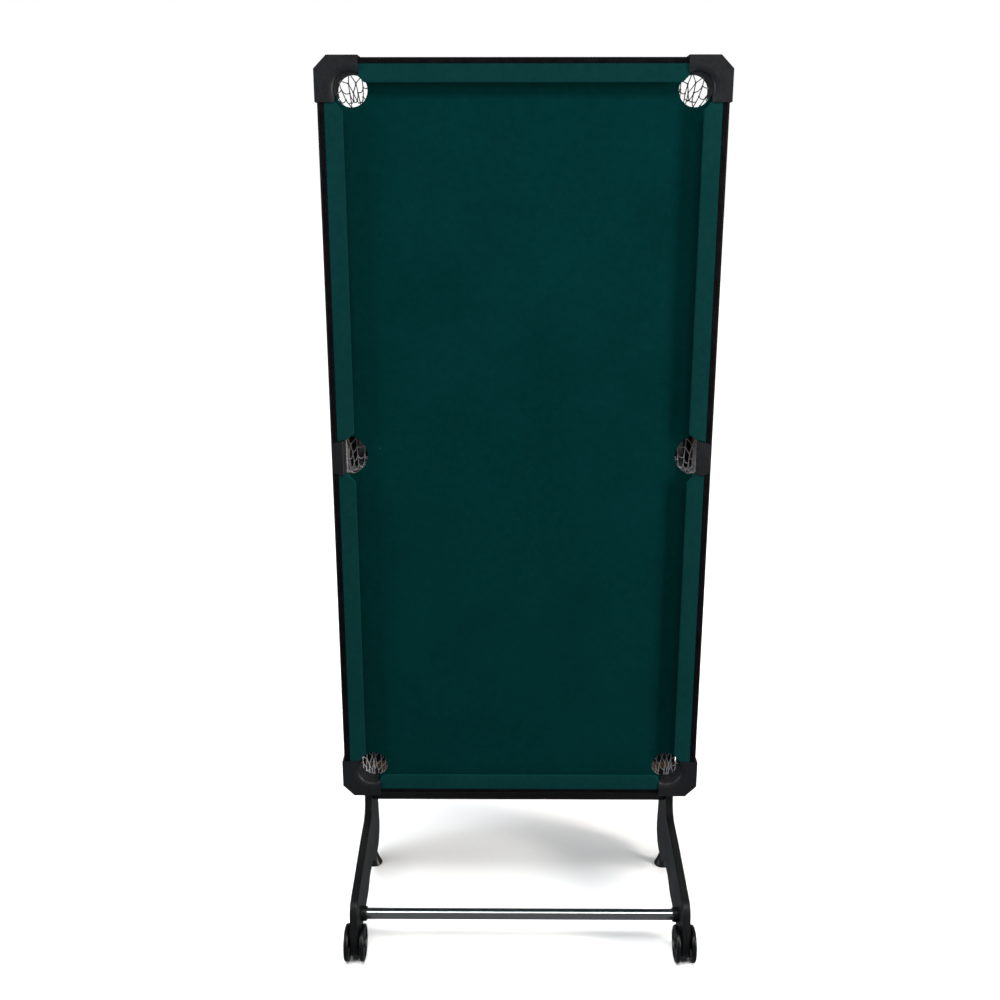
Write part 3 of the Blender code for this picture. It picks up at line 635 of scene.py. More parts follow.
def make_cushions():
    for end_name, end in ENDS.items():
        jaw = corner_jaw(1.0)
        make_cushion(
            f"cushion_{end_name}",
            cushion_section(13.3, 53.0),
            lambda w: jaw(w) - RAIL_X,
            lambda w: RAIL_X - jaw(w),
            lambda w, along, d, end=end: Vector((along, FACE_Y + d, MID_Z + end * (RAIL_Z - w))),
        )
    far = corner_jaw(1.10)
    for side_name, side in SIDES.items():
        for end_name, end in ENDS.items():
            make_cushion(
                f"cushion_{side_name}_{end_name}",
                cushion_section(15.3, 57.0),
                side_jaw,
                lambda w: RAIL_Z - far(w),
                lambda w, along, d, side=side, end=end: Vector(
                    (side * (RAIL_X - w), FACE_Y + d, MID_Z + end * along)
                ),
            )


# ---------------------------------------------------------------- trims and castings


def make_trims():
    """The four outer rails, chamfered outside, with eased edges."""
    outside = [(15.0, 60.0, 0.0), (0.0, 60.0, 1.5), (0.0, 4.5, 0.9), (4.5, 0.0, 0.9)]
    for name in ("left", "right", "foot", "head"):
        low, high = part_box(f"rail_trim_{name}")
        inside = [(15.0, 0.0, 0.7)]
        if name in ENDS:
            inside = [(13.0, 0.0, 0.7), (13.0, 30.0, 0.0), (15.0, 30.0, 0.0)]
        outline = [(u * MM, v * MM) for u, v in filleted(inside + outside, math.radians(15))]
        points = []
        if name in SIDES:
            for z in (low.z, high.z):
                points += [Vector((SIDES[name] * (RAIL_X - w), FACE_Y + d, z)) for w, d in outline]
        else:
            for x in (low.x, high.x):
                points += [Vector((x, FACE_Y + d, MID_Z + ENDS[name] * (RAIL_Z - w))) for w, d in outline]
        made = mesh_object(f"trim_{name}", points, rings_to_faces(2, len(outline)))
        finished(made, "rail_vinyl", "table", f"rail_trim_{name}")


CASTING_OUT = 4.5 * MM
CASTING_FACE = -2.8 * MM
CASTING_ARM = 95.0 * MM
LINER_R = 34.8 * MM
LINER_OUT = 36.8 * MM
LIP_R = 50.0 * MM
LIP = [
    # (radius, depth) in millimetres: how the face falls away into the pocket
    (0.0, -12.0),
    (60.0, -12.0),
    (60.0, -2.805),
    (51.0, -2.80),
    (49.0, -2.55),
    (46.5, -2.05),
    (43.5, -1.30),
    (41.0, -0.40),
    (38.8, 0.90),
    (37.0, 2.80),
    (35.8, 5.20),
    (35.1, 8.00),
    (34.8, 11.0),
    (0.0, 11.0),
]


def flat_prism(name, outline, low, high):
    points = []
    for d in (low, high):
        points += [Vector((x, FACE_Y + d, z)) for x, z in outline]
    return mesh_object(name, points, rings_to_faces(2, len(outline)))


def make_corner_casting(side_name, end_name):
    """A moulded corner: chamfered face, skirt round the rails, and a lip falling into the pocket's liner."""
    side, end = SIDES[side_name], ENDS[end_name]
    name = f"casting_{end_name}_{side_name}"
    centre = (CORNER_W, CORNER_L)

    def placed(outline):
        return [(side * (RAIL_X - w), MID_Z + end * (RAIL_Z - l)) for w, l in outline]

    out, arm, cut = CASTING_OUT, CASTING_ARM, 24.5 * MM
    swing = math.acos((arm - CORNER_W) / LINER_R)
    rim = [(-out, arm), (-out, cut), (cut, -out), (arm, -out)]
    outline = rim + arc(centre, LINER_R, -swing, -math.pi, 40) + [(CORNER_W - LINER_R, arm)]
    face = flat_prism(name, placed(outline), CASTING_FACE, -0.3 * MM)
    inner = -0.4 * MM
    slant = cut + 4.1 * MM * (math.sqrt(2) - 1)
    skirt = rim + [(arm, inner), (slant, inner), (inner, slant), (inner, arm)]
    carve(face, flat_prism("skirt", placed(skirt), CASTING_FACE, 66 * MM), "UNION")
    reach = 93.3 * MM
    swing_in = math.acos((reach - CORNER_W) / LINER_R)
    swing_out = math.acos((reach - CORNER_W) / LIP_R)
    ring = arc(centre, LINER_R, -swing_in, -math.pi, 40) + [(CORNER_W - LINER_R, reach)]
    up = math.pi - math.asin((reach - CORNER_L) / LIP_R)
    ring += arc(centre, LIP_R, -2 * math.pi + up, -swing_out, 40)
    carve(face, flat_prism("lip_ring", placed(ring), CASTING_FACE + 0.5 * MM, 11.5 * MM), "UNION")
    middle = math.radians(225)
    span = (middle - math.radians(68), middle + math.radians(68))
    liner = arc(centre, LINER_OUT, *span, 48) + list(reversed(arc(centre, LINER_R, *span, 48)))
    carve(face, flat_prism("liner", placed(liner), 2 * MM, 78 * MM), "UNION")
    x, z = placed([centre])[0]
    tool = lathe("lip", [(d * MM, r * MM) for r, d in LIP], "Y", (x, FACE_Y, z), 96)
    carve(face, tool)
    finished(face, "casting_plastic", "table", f"corner_casting_{end_name}_{side_name}", 28, 0.6 * MM)


def make_side_casting(side_name):
    """A side pocket's casting: a face with rounded outer corners, rolled over into a straight liner."""
    side = SIDES[side_name]
    name = f"casting_side_{side_name}"
    inner = SIDE_MOUTH_IN
    outer = CASTING_OUT
    round_corner = 6.0 * MM
    profile = [(outer, -0.3), (outer, -2.0), (outer + 0.25 * MM, -2.5), (outer + 0.8 * MM, -2.8)]
    profile += [(outer + k * MM, -2.8) for k in (1.5, 2.5, 4.0, 6.0, 12.0, 18.0)]
    profile += [(inner - 5.0 * MM, -2.8), (inner - 3.4 * MM, -2.62), (inner - 2.0 * MM, -2.1)]
    profile += [(inner - 0.9 * MM, -1.3), (inner - 0.25 * MM, -0.3), (inner, 0.9), (inner, 2.0)]
    low = 2.2

    def half(w):
        size = 37.5 * MM + (w - outer) / (inner - outer) * 5.5 * MM
        short = round_corner - (w - outer)
        if short > 0:
            size -= round_corner - math.sqrt(max(0.0, round_corner**2 - short**2))
        return size

    points = []
    rows = len(profile)
    rounding = [(0.0, 0.8), (0.1, 0.45), (0.35, 0.15), (0.8, 0.0)]
    for w, d in profile:
        h = half(w)
        row = [(-h, None)]
        row += [(-h + e * MM, f) for e, f in rounding]
        row += [(h * t, 0.0) for t in (-0.6, -0.2, 0.2, 0.6)]
        row += [(h - e * MM, f) for e, f in reversed(rounding)]
        row += [(h, None)]
        for along, drop in row:
            depth = (low if drop is None else max(min(d + drop, low), d)) * MM
            points.append(Vector((side * (RAIL_X - w), FACE_Y + depth, MID_Z + along)))
    count = len(points) // rows
    faces = []
    for i in range(rows - 1):
        for k in range(count - 1):
            a = i * count + k
            faces.append([a, a + 1, a + count + 1, a + count])
    under = len(points)
    for w, _ in profile:
        h = half(w)
        points += [
            Vector((side * (RAIL_X - w), FACE_Y - 0.3 * MM, MID_Z - h)),
            Vector((side * (RAIL_X - w), FACE_Y - 0.3 * MM, MID_Z + h)),
        ]
    for i in range(rows - 1):
        a = under + 2 * i
        faces.append([a, a + 1, a + 3, a + 2])
        faces.append([i * count, a, a + 2, (i + 1) * count])
        faces.append([i * count + count - 1, (i + 1) * count + count - 1, a + 3, a + 1])
    for i in (0, rows - 1):
        faces.append([i * count + k for k in range(count)] + [under + 2 * i + 1, under + 2 * i])
    plate = mesh_object(f"{name}_plate", points, faces)
    low_x, high_x = sorted((side * (RAIL_X - inner), side * (RAIL_X - 28.2 * MM)))
    reach = 40.6 * MM
    ends = [(low_x, MID_Z - reach), (high_x, MID_Z - reach), (high_x, MID_Z + reach), (low_x, MID_Z + reach)]
    liner = flat_prism(f"{name}_liner", ends, 0.5 * MM, 45 * MM)
    made = joined(name, plate, liner)
    finished(made, "casting_plastic", "table", f"side_casting_{side_name}", 30)


# ---------------------------------------------------------------- nets


def relax(points, fixed, pairs, rest, pull, walls, rounds=260):
    """Lets a net of particles settle: pairs keep their lengths, pull draws them, walls are two corners."""
    place = points.copy()
    last = points.copy()
    free = (~fixed).astype(float)[:, None]
    first, second = pairs[:, 0], pairs[:, 1]
    share = np.zeros(len(points))
    np.add.at(share, first, 1.0)
    np.add.at(share, second, 1.0)
    share = np.maximum(share, 1.0)[:, None]
    for _ in range(rounds):
        moved = place + 0.94 * (place - last) * free + pull * free
        last = place
        place = moved
        for _ in range(14):
            gap = place[second] - place[first]
            length = np.linalg.norm(gap, axis=1)
            push = (0.5 * (length - rest) / np.maximum(length, 1e-9))[:, None] * gap
            change = np.zeros_like(place)
            np.add.at(change, first, push)
            np.add.at(change, second, -push)
            place = place + 1.6 * change / share * free
            place[fixed] = points[fixed]
            place = np.where(free > 0, np.clip(place, walls[0], walls[1]), place)
    return place


def tube(shape, path, radius, sides=6):
    """Adds a round cord along path to a bmesh."""
    path = [Vector(p) for p in path]
    rings = []
    normal = None
    for i, point in enumerate(path):
        ahead = path[min(i + 1, len(path) - 1)] - path[max(i - 1, 0)]
        ahead = ahead.normalized() if ahead.length > 1e-9 else Vector((0, 1, 0))
        if normal is None:
            normal = ahead.orthogonal().normalized()
        normal = (normal - ahead * normal.dot(ahead)).normalized()
        across = ahead.cross(normal)
        ring = []
        for k in range(sides):
            angle = 2 * math.pi * k / sides
            out = normal * math.cos(angle) + across * math.sin(angle)
            ring.append(shape.verts.new(point + out * radius))
        rings.append(ring)
    for a, b in zip(rings, rings[1:]):
        for k in range(sides):
            j = (k + 1) % sides
            shape.faces.new((a[k], a[j], b[j], b[k]))
    shape.faces.new(list(reversed(rings[0])))
    shape.faces.new(rings[-1])


def knot(shape, point, size, draw):
    """Adds a lumpy knot to a bmesh."""
    turn = Matrix.Rotation(draw.uniform(0, 3), 4, Vector((draw.uniform(-1, 1), 1, draw.uniform(-1, 1))))
    scale = Matrix.Diagonal((size * 1.25, size * 0.95, size * 1.05, 1))
    place = Matrix.Translation(point) @ turn @ scale
    made = bmesh.ops.create_icosphere(shape, subdivisions=2, radius=1.0, matrix=place)
    for v in made["verts"]:
        away = v.co - Vector(point)
        v.co = Vector(point) + away * (1 + 0.16 * math.sin(9 * away.x / size + 5 * away.z / size))


CORD_R = 1.20 * MM
KNOT_R = 2.1 * MM
NET_TOP = 0.047
CORNER_RIM_R = 38.0 * MM
SIDE_RIM_R = 47.5 * MM
BOTTOM = 0.95


def smooth_path(path, steps=3):
    """Points on a smooth line through path."""
    result = []
    for i in range(len(path) - 1):
        p0, p1, p2, p3 = (np.array(path[max(0, min(len(path) - 1, i + k))]) for k in (-1, 0, 1, 2))
        for k in range(steps):
            t = k / steps
            square = (2 * p0 - 5 * p1 + 4 * p2 - p3) * t * t
            cube = (3 * p1 - p0 - 3 * p2 + p3) * t**3
            result.append(0.5 * (2 * p1 + (p2 - p0) * t + square + cube))
    result.append(np.array(path[-1]))
    return result


def make_net(name, node, centre, rim_at, meshes, rows, depth, pull, walls, seed, slack, show_rim):
    """A knotted net bag: staggered rows of meshes from the pocket's rim to a drawn bottom, left to settle."""
    draw = random.Random(seed)
    steps = 4
    index = {}
    points = []
    fixed = []

    def particle(key, point, hold=False):
        if key not in index:
            index[key] = len(points)
            points.append(point)
            fixed.append(hold)
        return index[key]

    def bag(angle, t):
        """Where a point of the bag starts, t from 0 at the rim to 1 at the bottom's middle."""
        size = (1 - t**3) ** 0.5
        edge = rim_at(angle)
        back = NET_TOP + (depth - NET_TOP) * min(1.0, 1.25 * t)
        wander = 2.5 * MM * (1 if t > 0 else 0)
        return np.array(
            [
                centre[0] + edge[0] * size + draw.uniform(-wander, wander),
                FACE_Y + back + draw.uniform(-wander, 0),
                centre[1] + edge[1] * size + draw.uniform(-wander, wander),
            ]
        )

    for row in range(rows + 1):
        for k in range(meshes):
            angle = 2 * math.pi * (k + 0.5 * (row % 2)) / meshes + 0.15
            t = BOTTOM * row / rows
            particle((row, k), bag(angle, t), row == 0)
    cords = []
    for row in range(rows):
        for k in range(meshes):
            step = (1, 0) if row % 2 else (0, -1)
            for s in step:
                cords.append(((row, k), (row + 1, (k + s) % meshes)))
    for k in range(meshes):
        cords.append(((rows, k), (rows, (k + 1) % meshes)))
        cords.append(((0, k), (0, (k + 1) % meshes)))
    pairs, rest, paths = [], [], []
    for number, (a, b) in enumerate(cords):
        pa, pb = points[index[a]], points[index[b]]
        rim_cord = a[0] == 0 and b[0] == 0
        run = [index[a]]
        for s in range(1, steps):
            t = s / steps
            point = pa + (pb - pa) * t
            if rim_cord:
                full = rim_at(2 * math.pi * (a[1] + t) / meshes + 0.15)
                point = np.array([centre[0] + full[0], FACE_Y + NET_TOP, centre[1] + full[1]])
            run.append(particle((number, "s", s), point, rim_cord))
        run.append(index[b])
        length = np.linalg.norm(pb - pa) * (1.0 + slack * draw.uniform(0.3, 1.0))
        if a[0] == rows and b[0] == rows:
            length *= 0.8
        for p, q in zip(run, run[1:]):
            pairs.append((p, q))
            rest.append(length / steps)
        if not rim_cord or show_rim:
            paths.append(run)
    settled = relax(
        np.array(points), np.array(fixed), np.array(pairs), np.array(rest), np.array(pull), walls
    )
    shape = bmesh.new()
    for run in paths:
        tube(shape, smooth_path([settled[i] for i in run]), CORD_R)
    for row in range(rows + 1):
        for k in range(meshes):
            knot(shape, settled[index[(row, k)]], KNOT_R, draw)
    mesh = bpy.data.meshes.new(name)
    shape.to_mesh(mesh)
    shape.free()
    finished(add(name, mesh), "net_cord", "table", node, angle=60)


def make_nets():
    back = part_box("pocket_net_head_left")[1].y - FACE_Y - 1.2 * MM
    front_y = FACE_Y + 0.0475
    apron_x = abs(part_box("apron_left")[1].x) - 1.5 * MM
    apron_z = RAIL_Z - 28 * MM - 1.5 * MM
    seed = 11
    for side_name, side in SIDES.items():
        for end_name, end in ENDS.items():
            x, _, z = spot(side, end, CORNER_W, CORNER_L, 0)
            seed += 1
            sag = 0.00006 if end > 0 else 0.00045
            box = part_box(f"pocket_net_{end_name}_{side_name}")
            low = np.array([box[0].x, front_y, max(box[0].z, MID_Z - apron_z)])
            high = np.array([box[1].x, FACE_Y + back, min(box[1].z, MID_Z + apron_z)])
            meshes, rows, slack = (8, 3, 0.06) if end > 0 else (13, 7, 0.70)
            reach = back if end > 0 else 0.078
            drift = 0.00012 if end > 0 else -0.00002
            make_net(
                f"net_{end_name}_{side_name}",
                f"pocket_net_{end_name}_{side_name}",
                (x, z),
                lambda a: (CORNER_RIM_R * math.cos(a), CORNER_RIM_R * math.sin(a)),
                meshes,
                rows,
                reach,
                (0.0, drift, -sag),
                (low, high),
                seed,
                slack,
                end < 0,
            )
        stop = apron_x - (RAIL_X - SIDE_W)
        seed += 1
        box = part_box(f"pocket_net_side_{side_name}")

        def rim(a, side=side, stop=stop):
            return (side * min(SIDE_RIM_R * math.cos(a), stop), SIDE_RIM_R * math.sin(a))

        make_net(
            f"net_side_{side_name}",
            f"pocket_net_side_{side_name}",
            (side * (RAIL_X - SIDE_W), MID_Z),
            rim,
            10,
            6,
            0.095,
            (0.0, 0.00003, -0.00030),
            (
                np.array([box[0].x, front_y, box[0].z]),
                np.array([box[1].x, FACE_Y + back, box[1].z]),
            ),
            seed,
            0.30,
            False,
        )


# ---------------------------------------------------------------- legs and what they carry

PIVOT_Y = sum(p.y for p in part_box("tilt_nut_left")) / 2
TILT_Z = sum(p.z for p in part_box("tilt_nut_left")) / 2
FOLD_Z = sum(p.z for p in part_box("fold_nut_left")) / 2
LEG_IN, LEG_OUT = 412.2 * MM, 432.2 * MM
LEG_MID = (LEG_IN + LEG_OUT) / 2
HEAD_R, HEAD_ROUND = 38.0 * MM, 35.5 * MM

BASE_LEG = [
    # (y, z, radius): nose round the axle, underside, heel, post and its round head, front edge
    (-0.2610, 0.0110, 0.0350),
    (-0.1880, 0.0110, 0.0340),
    (-0.1400, 0.0450, 0.0300),
    (-0.0200, 0.0530, 0.0800),
    (0.0280, 0.0745, 0.0500),
    (0.0980, 0.0765, 0.0350),
    (0.1480, 0.0390, 0.0300),
    (0.2790, 0.0390, 0.0550),
    (0.2110, 0.4200, 0.3000),
    (PIVOT_Y + HEAD_R, TILT_Z + HEAD_R, HEAD_R - 0.0005),
    (PIVOT_Y - HEAD_R, TILT_Z + HEAD_R, HEAD_R - 0.0005),
    (0.0160, 0.6200, 0.1600),
    (0.1100, 0.4550, 0.1400),
    (0.1100, 0.2205, 0.0500),
    (-0.0100, 0.2060, 0.3000),
    (-0.2420, 0.1640, 0.0380),
]
FOLD_LEG = [
    # (outwards from the pivot, down from it, radius)
    (-HEAD_R, -HEAD_R, HEAD_ROUND),
    (HEAD_R, -HEAD_R, HEAD_ROUND),
    (0.0400, 0.3000, 0.3000),
    (0.1150, 0.4800, 0.1600),
    (0.2194, 0.5300, 0.0550),
    (0.2194, 0.6785, 0.0300),
    (0.0420, 0.6785, 0.0300),
    (0.0420, 0.5000, 0.1500),
    (-0.0370, 0.3400, 0.2000),
]


def make_leg(name, side, outline, pivot_z, holes, body):
    """A painted leg board with rounded rims, a boss at its pivot, and its holes."""
    low, high = sorted((side * LEG_IN, side * LEG_OUT))
    leg = rounded_prism(name, outline, "X", low, high, 3.2 * MM, 5)
    for kind, place, radius, reach in holes:
        if kind == "X":
            tool = lathe("hole", [(-0.03, 0), (-0.03, radius), (0.03, radius), (0.03, 0)], "X", place, 32)
        else:
            tool = lathe("hole", [(-0.01, 0), (-0.01, radius), (reach, radius), (reach, 0)], "Z", place, 24)
        carve(leg, tool)
    hole = 5.4 * MM
    rise = [(19.0, hole / MM), (19.0, 20.6), (20.6, 20.4), (21.3, 19.9), (21.75, 19.0), (21.75, 9.0)]
    rise += [(21.2, 8.2), (20.8, 7.6), (20.8, hole / MM)]
    boss = lathe(f"{name}_boss", in_mm(rise, side), "X", (side * LEG_IN, PIVOT_Y, pivot_z), 64)
    made = joined(f"{name}_board", leg, boss)
    finished(made, "leg_paint", body, name, 40)


def make_foot(name):
    """A levelling foot: a cone on a threaded stem."""
    low, high, (x, y, _) = box_of(name)
    profile = [(0.0, 0.0), (0.0, 20.8), (0.3, 21.7), (1.0, 22.3), (2.0, 22.5), (4.4, 22.5), (5.2, 22.2)]
    profile += [(6.2, 21.4), (9.0, 20.0), (13.0, 17.9), (18.0, 15.7), (23.0, 13.7), (26.0, 12.5)]
    profile += [(28.5, 11.9), (31.2, 11.4), (32.4, 10.9), (33.4, 9.8), (34.0, 8.4), (34.0, 6.0)]
    top = (high.z - low.z) / MM
    along = 35.0
    while along < top - 1.5:
        profile += [(along, 5.2), (along + 0.6, 6.0)]
        along += 1.25
    profile += [(top - 0.8, 5.8), (top, 5.0), (top, 0.0)]
    made = lathe(f"{name}_cone", in_mm(profile), "Z", (x, y, low.z), 48)
    finished(made, "foot_plastic", name, name, 30)


def make_bar(name, body):
    """A chromed tube with closed, rounded ends."""
    low, high, centre = box_of(name)
    half, radius = high.x, (high.z - low.z) / 2
    profile = [(-half, 0.0), (-half, radius - 1.2 * MM), (-half + 0.4 * MM, radius - 0.35 * MM)]
    profile.append((-half + 1.2 * MM, radius))
    profile += [(-p, r) for p, r in reversed(profile)]
    centre = (0.0, *centre[1:])
    finished(lathe(f"{name}_tube", profile, "X", centre, 96), "chrome", body, name, 40)


def make_ferrule(name, side, body):
    """A stepped collar round the end of a bar."""
    low, high, centre = box_of(name)
    long, radius = high.x - low.x, (high.z - low.z) / 2
    bore = 14.3 * MM
    near = min(abs(low.x), abs(high.x))
    steps = [(0.0, 2.4), (0.3, 1.5), (1.0, 0.8), (3.4, 0.5), (3.8, 0.1), (4.3, 0.0)]
    profile = [(0.0, bore)] + [(a * MM, radius - under * MM) for a, under in steps]
    profile += [(long - 0.5 * MM, radius), (long, radius - 0.5 * MM), (long, bore)]
    centre = (side * near, *centre[1:])
    made = lathe(f"{name}_collar", [(side * a, r) for a, r in profile], "X", centre, 72)
    finished(made, "leg_paint", body, name, 35)


def make_wheel(name):
    """A black disc wheel: a rounded tread, a dished web with a raised ring, and a hub."""
    low, high, centre = box_of(name)
    rim = (high.z - low.z) / 2 / MM
    face = [(7.0, 6.3), (7.0, 11.6), (6.6, 12.6), (5.6, 13.3), (3.9, 13.9), (3.3, 15.2), (3.1, 18.0)]
    face += [(3.1, 33.2), (3.4, 34.6), (4.6, 35.5), (5.7, 36.3), (6.1, 37.6), (6.25, 39.0), (6.15, 41.2)]
    face += [(5.7, 43.0), (4.9, 44.6), (3.8, rim - 0.7), (2.4, rim - 0.18), (1.2, rim)]
    profile = [(-a, r) for a, r in face] + [(a, r) for a, r in reversed(face)]
    made = lathe(f"{name}_disc", in_mm(profile), "X", centre, 96)
    finished(made, "wheel_plastic", name, name, 38)


def make_axle(name, body):
    """An axle with a domed head outside each wheel."""
    low, high, centre = box_of(name)
    half = (high.x - low.x) / 2 / MM
    head = [(0.0, 0.0), (0.05, 2.6), (0.3, 5.2), (0.8, 7.6), (1.5, 9.3), (2.1, 9.9), (2.5, 9.9), (2.5, 6.0)]
    end = [(half - under, r) for under, r in head]
    profile = end + [(-a, r) for a, r in reversed(end)]
    pin = lathe(f"{name}_pin", in_mm(profile), "X", centre, 48)
    finished(pin, "zinc_steel", body, name, 30)


def make_knob(name, side, pivot_z):
    """A five-lobed hand knob, domed outside, with its threaded stud."""
    low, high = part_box(name)
    near, far = 447.8 * MM, max(abs(low.x), abs(high.x))
    rings = [(0.0, 0.55), (0.0, 0.80), (0.4, 0.90), (1.2, 0.965), (2.6, 1.0), (11.5, 1.0), (13.6, 0.985)]
    rings += [(15.4, 0.94), (16.8, 0.85), (17.7, 0.72), (18.2, 0.55), (18.4, 0.34), (18.4, 0.12)]
    count = 80
    points = []
    for along, size in rings:
        for k in range(count):
            angle = 2 * math.pi * k / count
            wave = 2.5 * MM * math.cos(5 * angle) * size**2
            radius = 19.5 * MM * size + wave
            x = side * min(near + along * MM, far)
            points.append(Vector((x, PIVOT_Y + radius * math.cos(angle), pivot_z + radius * math.sin(angle))))
    knob = mesh_object(f"{name}_head", points, rings_to_faces(len(rings), count))
    inner_end = min(abs(low.x), abs(high.x))
    profile = [(near + 5 * MM, 0.0), (near + 5 * MM, 5 * MM)]
    along = near
    while along > inner_end + 1.6 * MM:
        profile += [(along, 4.35 * MM), (along - 0.6 * MM, 5 * MM)]
        along -= 1.2 * MM
    profile += [(inner_end + 0.6 * MM, 4.6 * MM), (inner_end, 3.8 * MM), (inner_end, 0.0)]
    stud = lathe(f"{name}_stud", [(side * a, r) for a, r in profile], "X", (0, PIVOT_Y, pivot_z), 24)
    finished(joined(f"{name}_star", knob, stud), "knob_plastic", name, name, 35)


def make_nut(name, body):
    """A hexagon nut, chamfered on both faces."""
    low, high, centre = box_of(name)
    half = (high.x - low.x) / 2
    flat = 9.8 * MM * math.cos(math.radians(30))
    count = 72
    points = []
    edge, slope = 8.7 * MM, 0.9 * MM
    for along, most in ((-half, edge), (slope - half, 1.0), (half - slope, 1.0), (half, edge)):
        for k in range(count):
            angle = 2 * math.pi * k / count
            off = (angle + math.radians(30)) % math.radians(60) - math.radians(30)
            radius = min(flat / math.cos(off), most)
            y, z = centre[1] + radius * math.cos(angle), centre[2] + radius * math.sin(angle)
            points.append(Vector((centre[0] + along, y, z)))
    nut = mesh_object(f"{name}_hex", points, rings_to_faces(4, count))
    hole = 5.3 * MM
    carve(nut, lathe("bore", [(-0.02, 0), (-0.02, hole), (0.02, hole), (0.02, 0)], "X", centre, 32))
    finished(nut, "zinc_steel", body, name, 25)


# each leg frame: its pieces' name, its pivot's name and height, and its body
FRAMES = [("base", "tilt", TILT_Z, "base"), ("fold", "fold", FOLD_Z, "fold_legs")]


def make_frames():
    base = filleted(BASE_LEG, math.radians(5))
    fold = [(PIVOT_Y + out, FOLD_Z - down) for out, down in filleted(FOLD_LEG, math.radians(5))]
    for side_name, side in SIDES.items():
        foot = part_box(f"base_foot_{side_name}")
        foot_at = (side * LEG_MID, (foot[0].y + foot[1].y) / 2, 0.030)
        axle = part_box(f"wheel_axle_{side_name}")
        axle_at = (side * LEG_MID, (axle[0].y + axle[1].y) / 2, (axle[0].z + axle[1].z) / 2)
        holes = [
            ("X", (side * LEG_MID, PIVOT_Y, TILT_Z), 5.3 * MM, 0),
            ("X", axle_at, 6.3 * MM, 0),
            ("Z", foot_at, 6.3 * MM, 0.060),
        ]
        make_leg(f"base_leg_{side_name}", side, base, TILT_Z, holes, "base")
        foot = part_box(f"fold_foot_{side_name}")
        foot_at = (side * LEG_MID, (foot[0].y + foot[1].y) / 2, foot[0].z + 0.025)
        holes = [("X", (side * LEG_MID, PIVOT_Y, FOLD_Z), 5.3 * MM, 0), ("Z", foot_at, 6.3 * MM, 0.065)]
        make_leg(f"fold_leg_{side_name}", side, fold, FOLD_Z, holes, "fold_legs")
        for frame_name, pivot, pivot_z, body in FRAMES:
            make_foot(f"{frame_name}_foot_{side_name}")
            make_ferrule(f"{frame_name}_bar_ferrule_{side_name}", side, body)
            make_knob(f"{pivot}_knob_{side_name}", side, pivot_z)
            make_nut(f"{pivot}_nut_{side_name}", body)
        for place in ("inner", "outer"):
            make_wheel(f"wheel_{side_name}_{place}")
        make_axle(f"wheel_axle_{side_name}", "base")
    for frame_name, _, _, body in FRAMES:
        make_bar(f"{frame_name}_bar", body)


def dress_boards():
    """The boards that keep their CAD shape: their edges eased, and their materials given."""
    looks = {f"apron_{n}": "apron_board" for n in ("left", "right", "foot", "head")}
    looks |= {name: "raw_board" for name in ("batten_foot", "batten_head", "playfield_bed")}
    looks["base_beam"] = "leg_paint"
    for name, look in looks.items():
        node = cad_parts[name]
        node.data.materials.clear()
        node.data.materials.append(LOOKS[look])
        weld = node.modifiers.new("welded", "WELD")
        weld.merge_threshold = 1e-5
        soften(node, (2.0 if name == "base_beam" else 0.5) * MM, 3 if name == "base_beam" else 2)


# ---------------------------------------------------------------- stage


def area_light(name, place, aim, size, power, colour=(1, 1, 1)):
    light = bpy.data.lights.new(name, "AREA")
    light.shape = "RECTANGLE"
    light.size, light.size_y = size
    light.energy = power
    light.color = colour
    made = add(name, light)
    made.location = place
    made.rotation_euler = (Vector(aim) - Vector(place)).to_track_quat("-Z", "Y").to_euler()


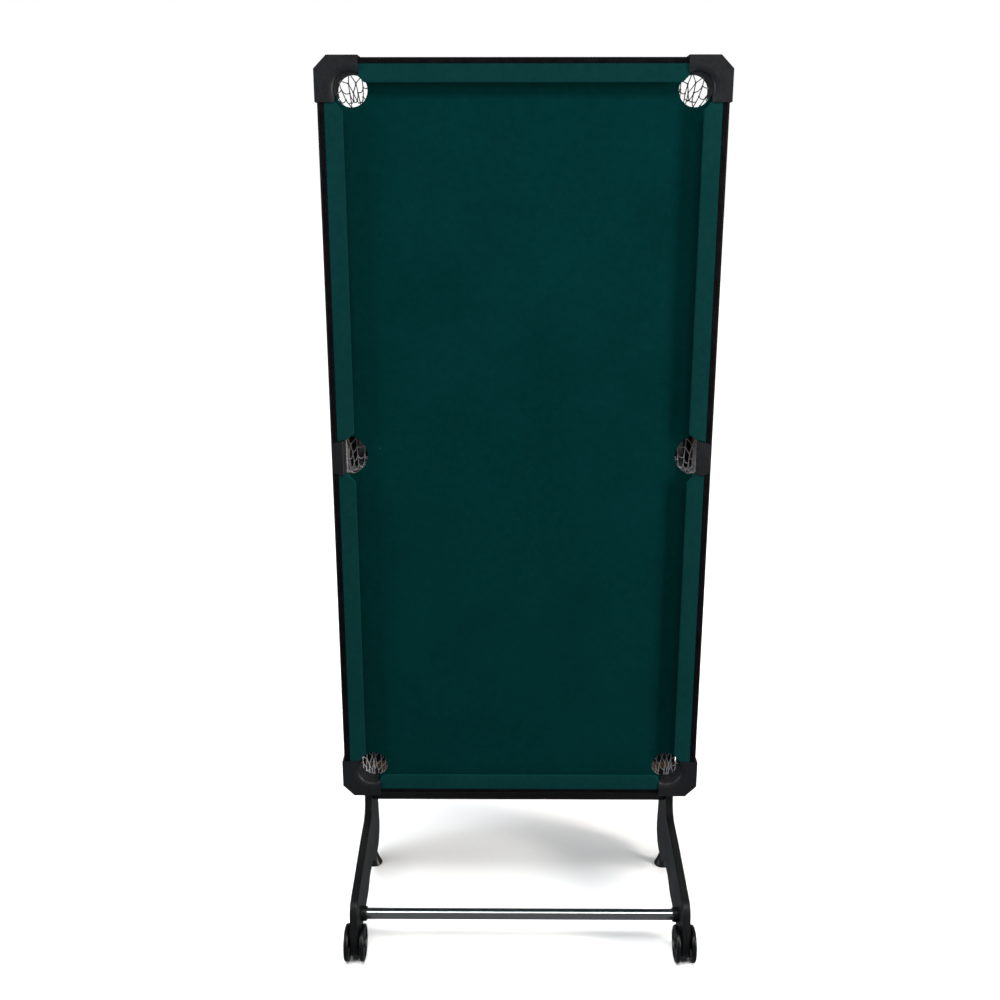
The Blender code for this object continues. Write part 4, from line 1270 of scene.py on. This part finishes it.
def make_stage():
    """A pale floor, a white surround for the camera, and soft lights."""
    scene = bpy.context.scene
    scene.view_settings.view_transform = "Standard"
    world = bpy.data.worlds.new("studio")
    world.use_nodes = True
    scene.world = world
    nodes, links = world.node_tree.nodes, world.node_tree.links
    nodes.clear()
    seen = nodes.new("ShaderNodeBackground")
    seen.inputs["Color"].default_value = (1, 1, 1, 1)
    lit = nodes.new("ShaderNodeBackground")
    lit.inputs["Color"].default_value = (0.92, 0.96, 1.0, 1)
    lit.inputs["Strength"].default_value = 0.13
    path = nodes.new("ShaderNodeLightPath")
    either = nodes.new("ShaderNodeMixShader")
    out = nodes.new("ShaderNodeOutputWorld")
    links.new(path.outputs["Is Camera Ray"], either.inputs[0])
    links.new(lit.outputs[0], either.inputs[1])
    links.new(seen.outputs[0], either.inputs[2])
    links.new(either.outputs[0], out.inputs[0])

    size, level = 60.0, -0.5 * MM
    corners = [(x * size, y * size, level) for x, y in ((-1, -1), (1, -1), (1, 1), (-1, 1))]
    floor = mesh_object("floor", corners, [[0, 1, 2, 3]])
    pale = Finish("floor_white", (0.86, 0.86, 0.86), 0.9, specular=0.0)
    floor.data.materials.append(pale.material)
    floor.visible_glossy = False
    floor.visible_diffuse = False

    only_floor = bpy.data.collections.new("floor_light_receivers")
    only_floor.objects.link(floor)
    sun = bpy.data.lights.new("floor_light", "SUN")
    sun.energy = 4.2
    sun.angle = math.radians(50)
    floor_light = add("floor_light", sun)
    floor_light.rotation_euler = (math.radians(12), math.radians(-8), 0)
    floor_light.light_linking.receiver_collection = only_floor

    area_light("key", (0.2, -2.2, 4.5), (0, 0, 1.4), (2.6, 0.9), 62, (0.97, 0.98, 1.0))
    area_light("graze_right", (3.6, -1.7, 1.9), (0, 0, 1.4), (0.8, 2.2), 120, (1.0, 0.95, 0.88))
    area_light("graze_left", (-3.8, -1.3, 1.9), (0, 0, 1.4), (1.0, 2.2), 70, (0.86, 0.94, 1.0))
    area_light("back", (0.0, 2.6, 4.2), (0, 0, 1.0), (2.4, 1.6), 10)

    lens = bpy.data.cameras.new("camera")
    lens.lens = 40.70
    lens.sensor_width = 36.0
    camera = add("camera", lens)
    camera.location = (-0.0356, -2.7100, 1.9336)
    camera.rotation_euler = (math.radians(74.18), 0.0, math.radians(0.35))
    scene.camera = camera


make_stage()
make_cloth()
make_cushions()
make_trims()
for side_name in SIDES:
    for end_name in ENDS:
        make_corner_casting(side_name, end_name)
    make_side_casting(side_name)
make_nets()
make_frames()
dress_boards()
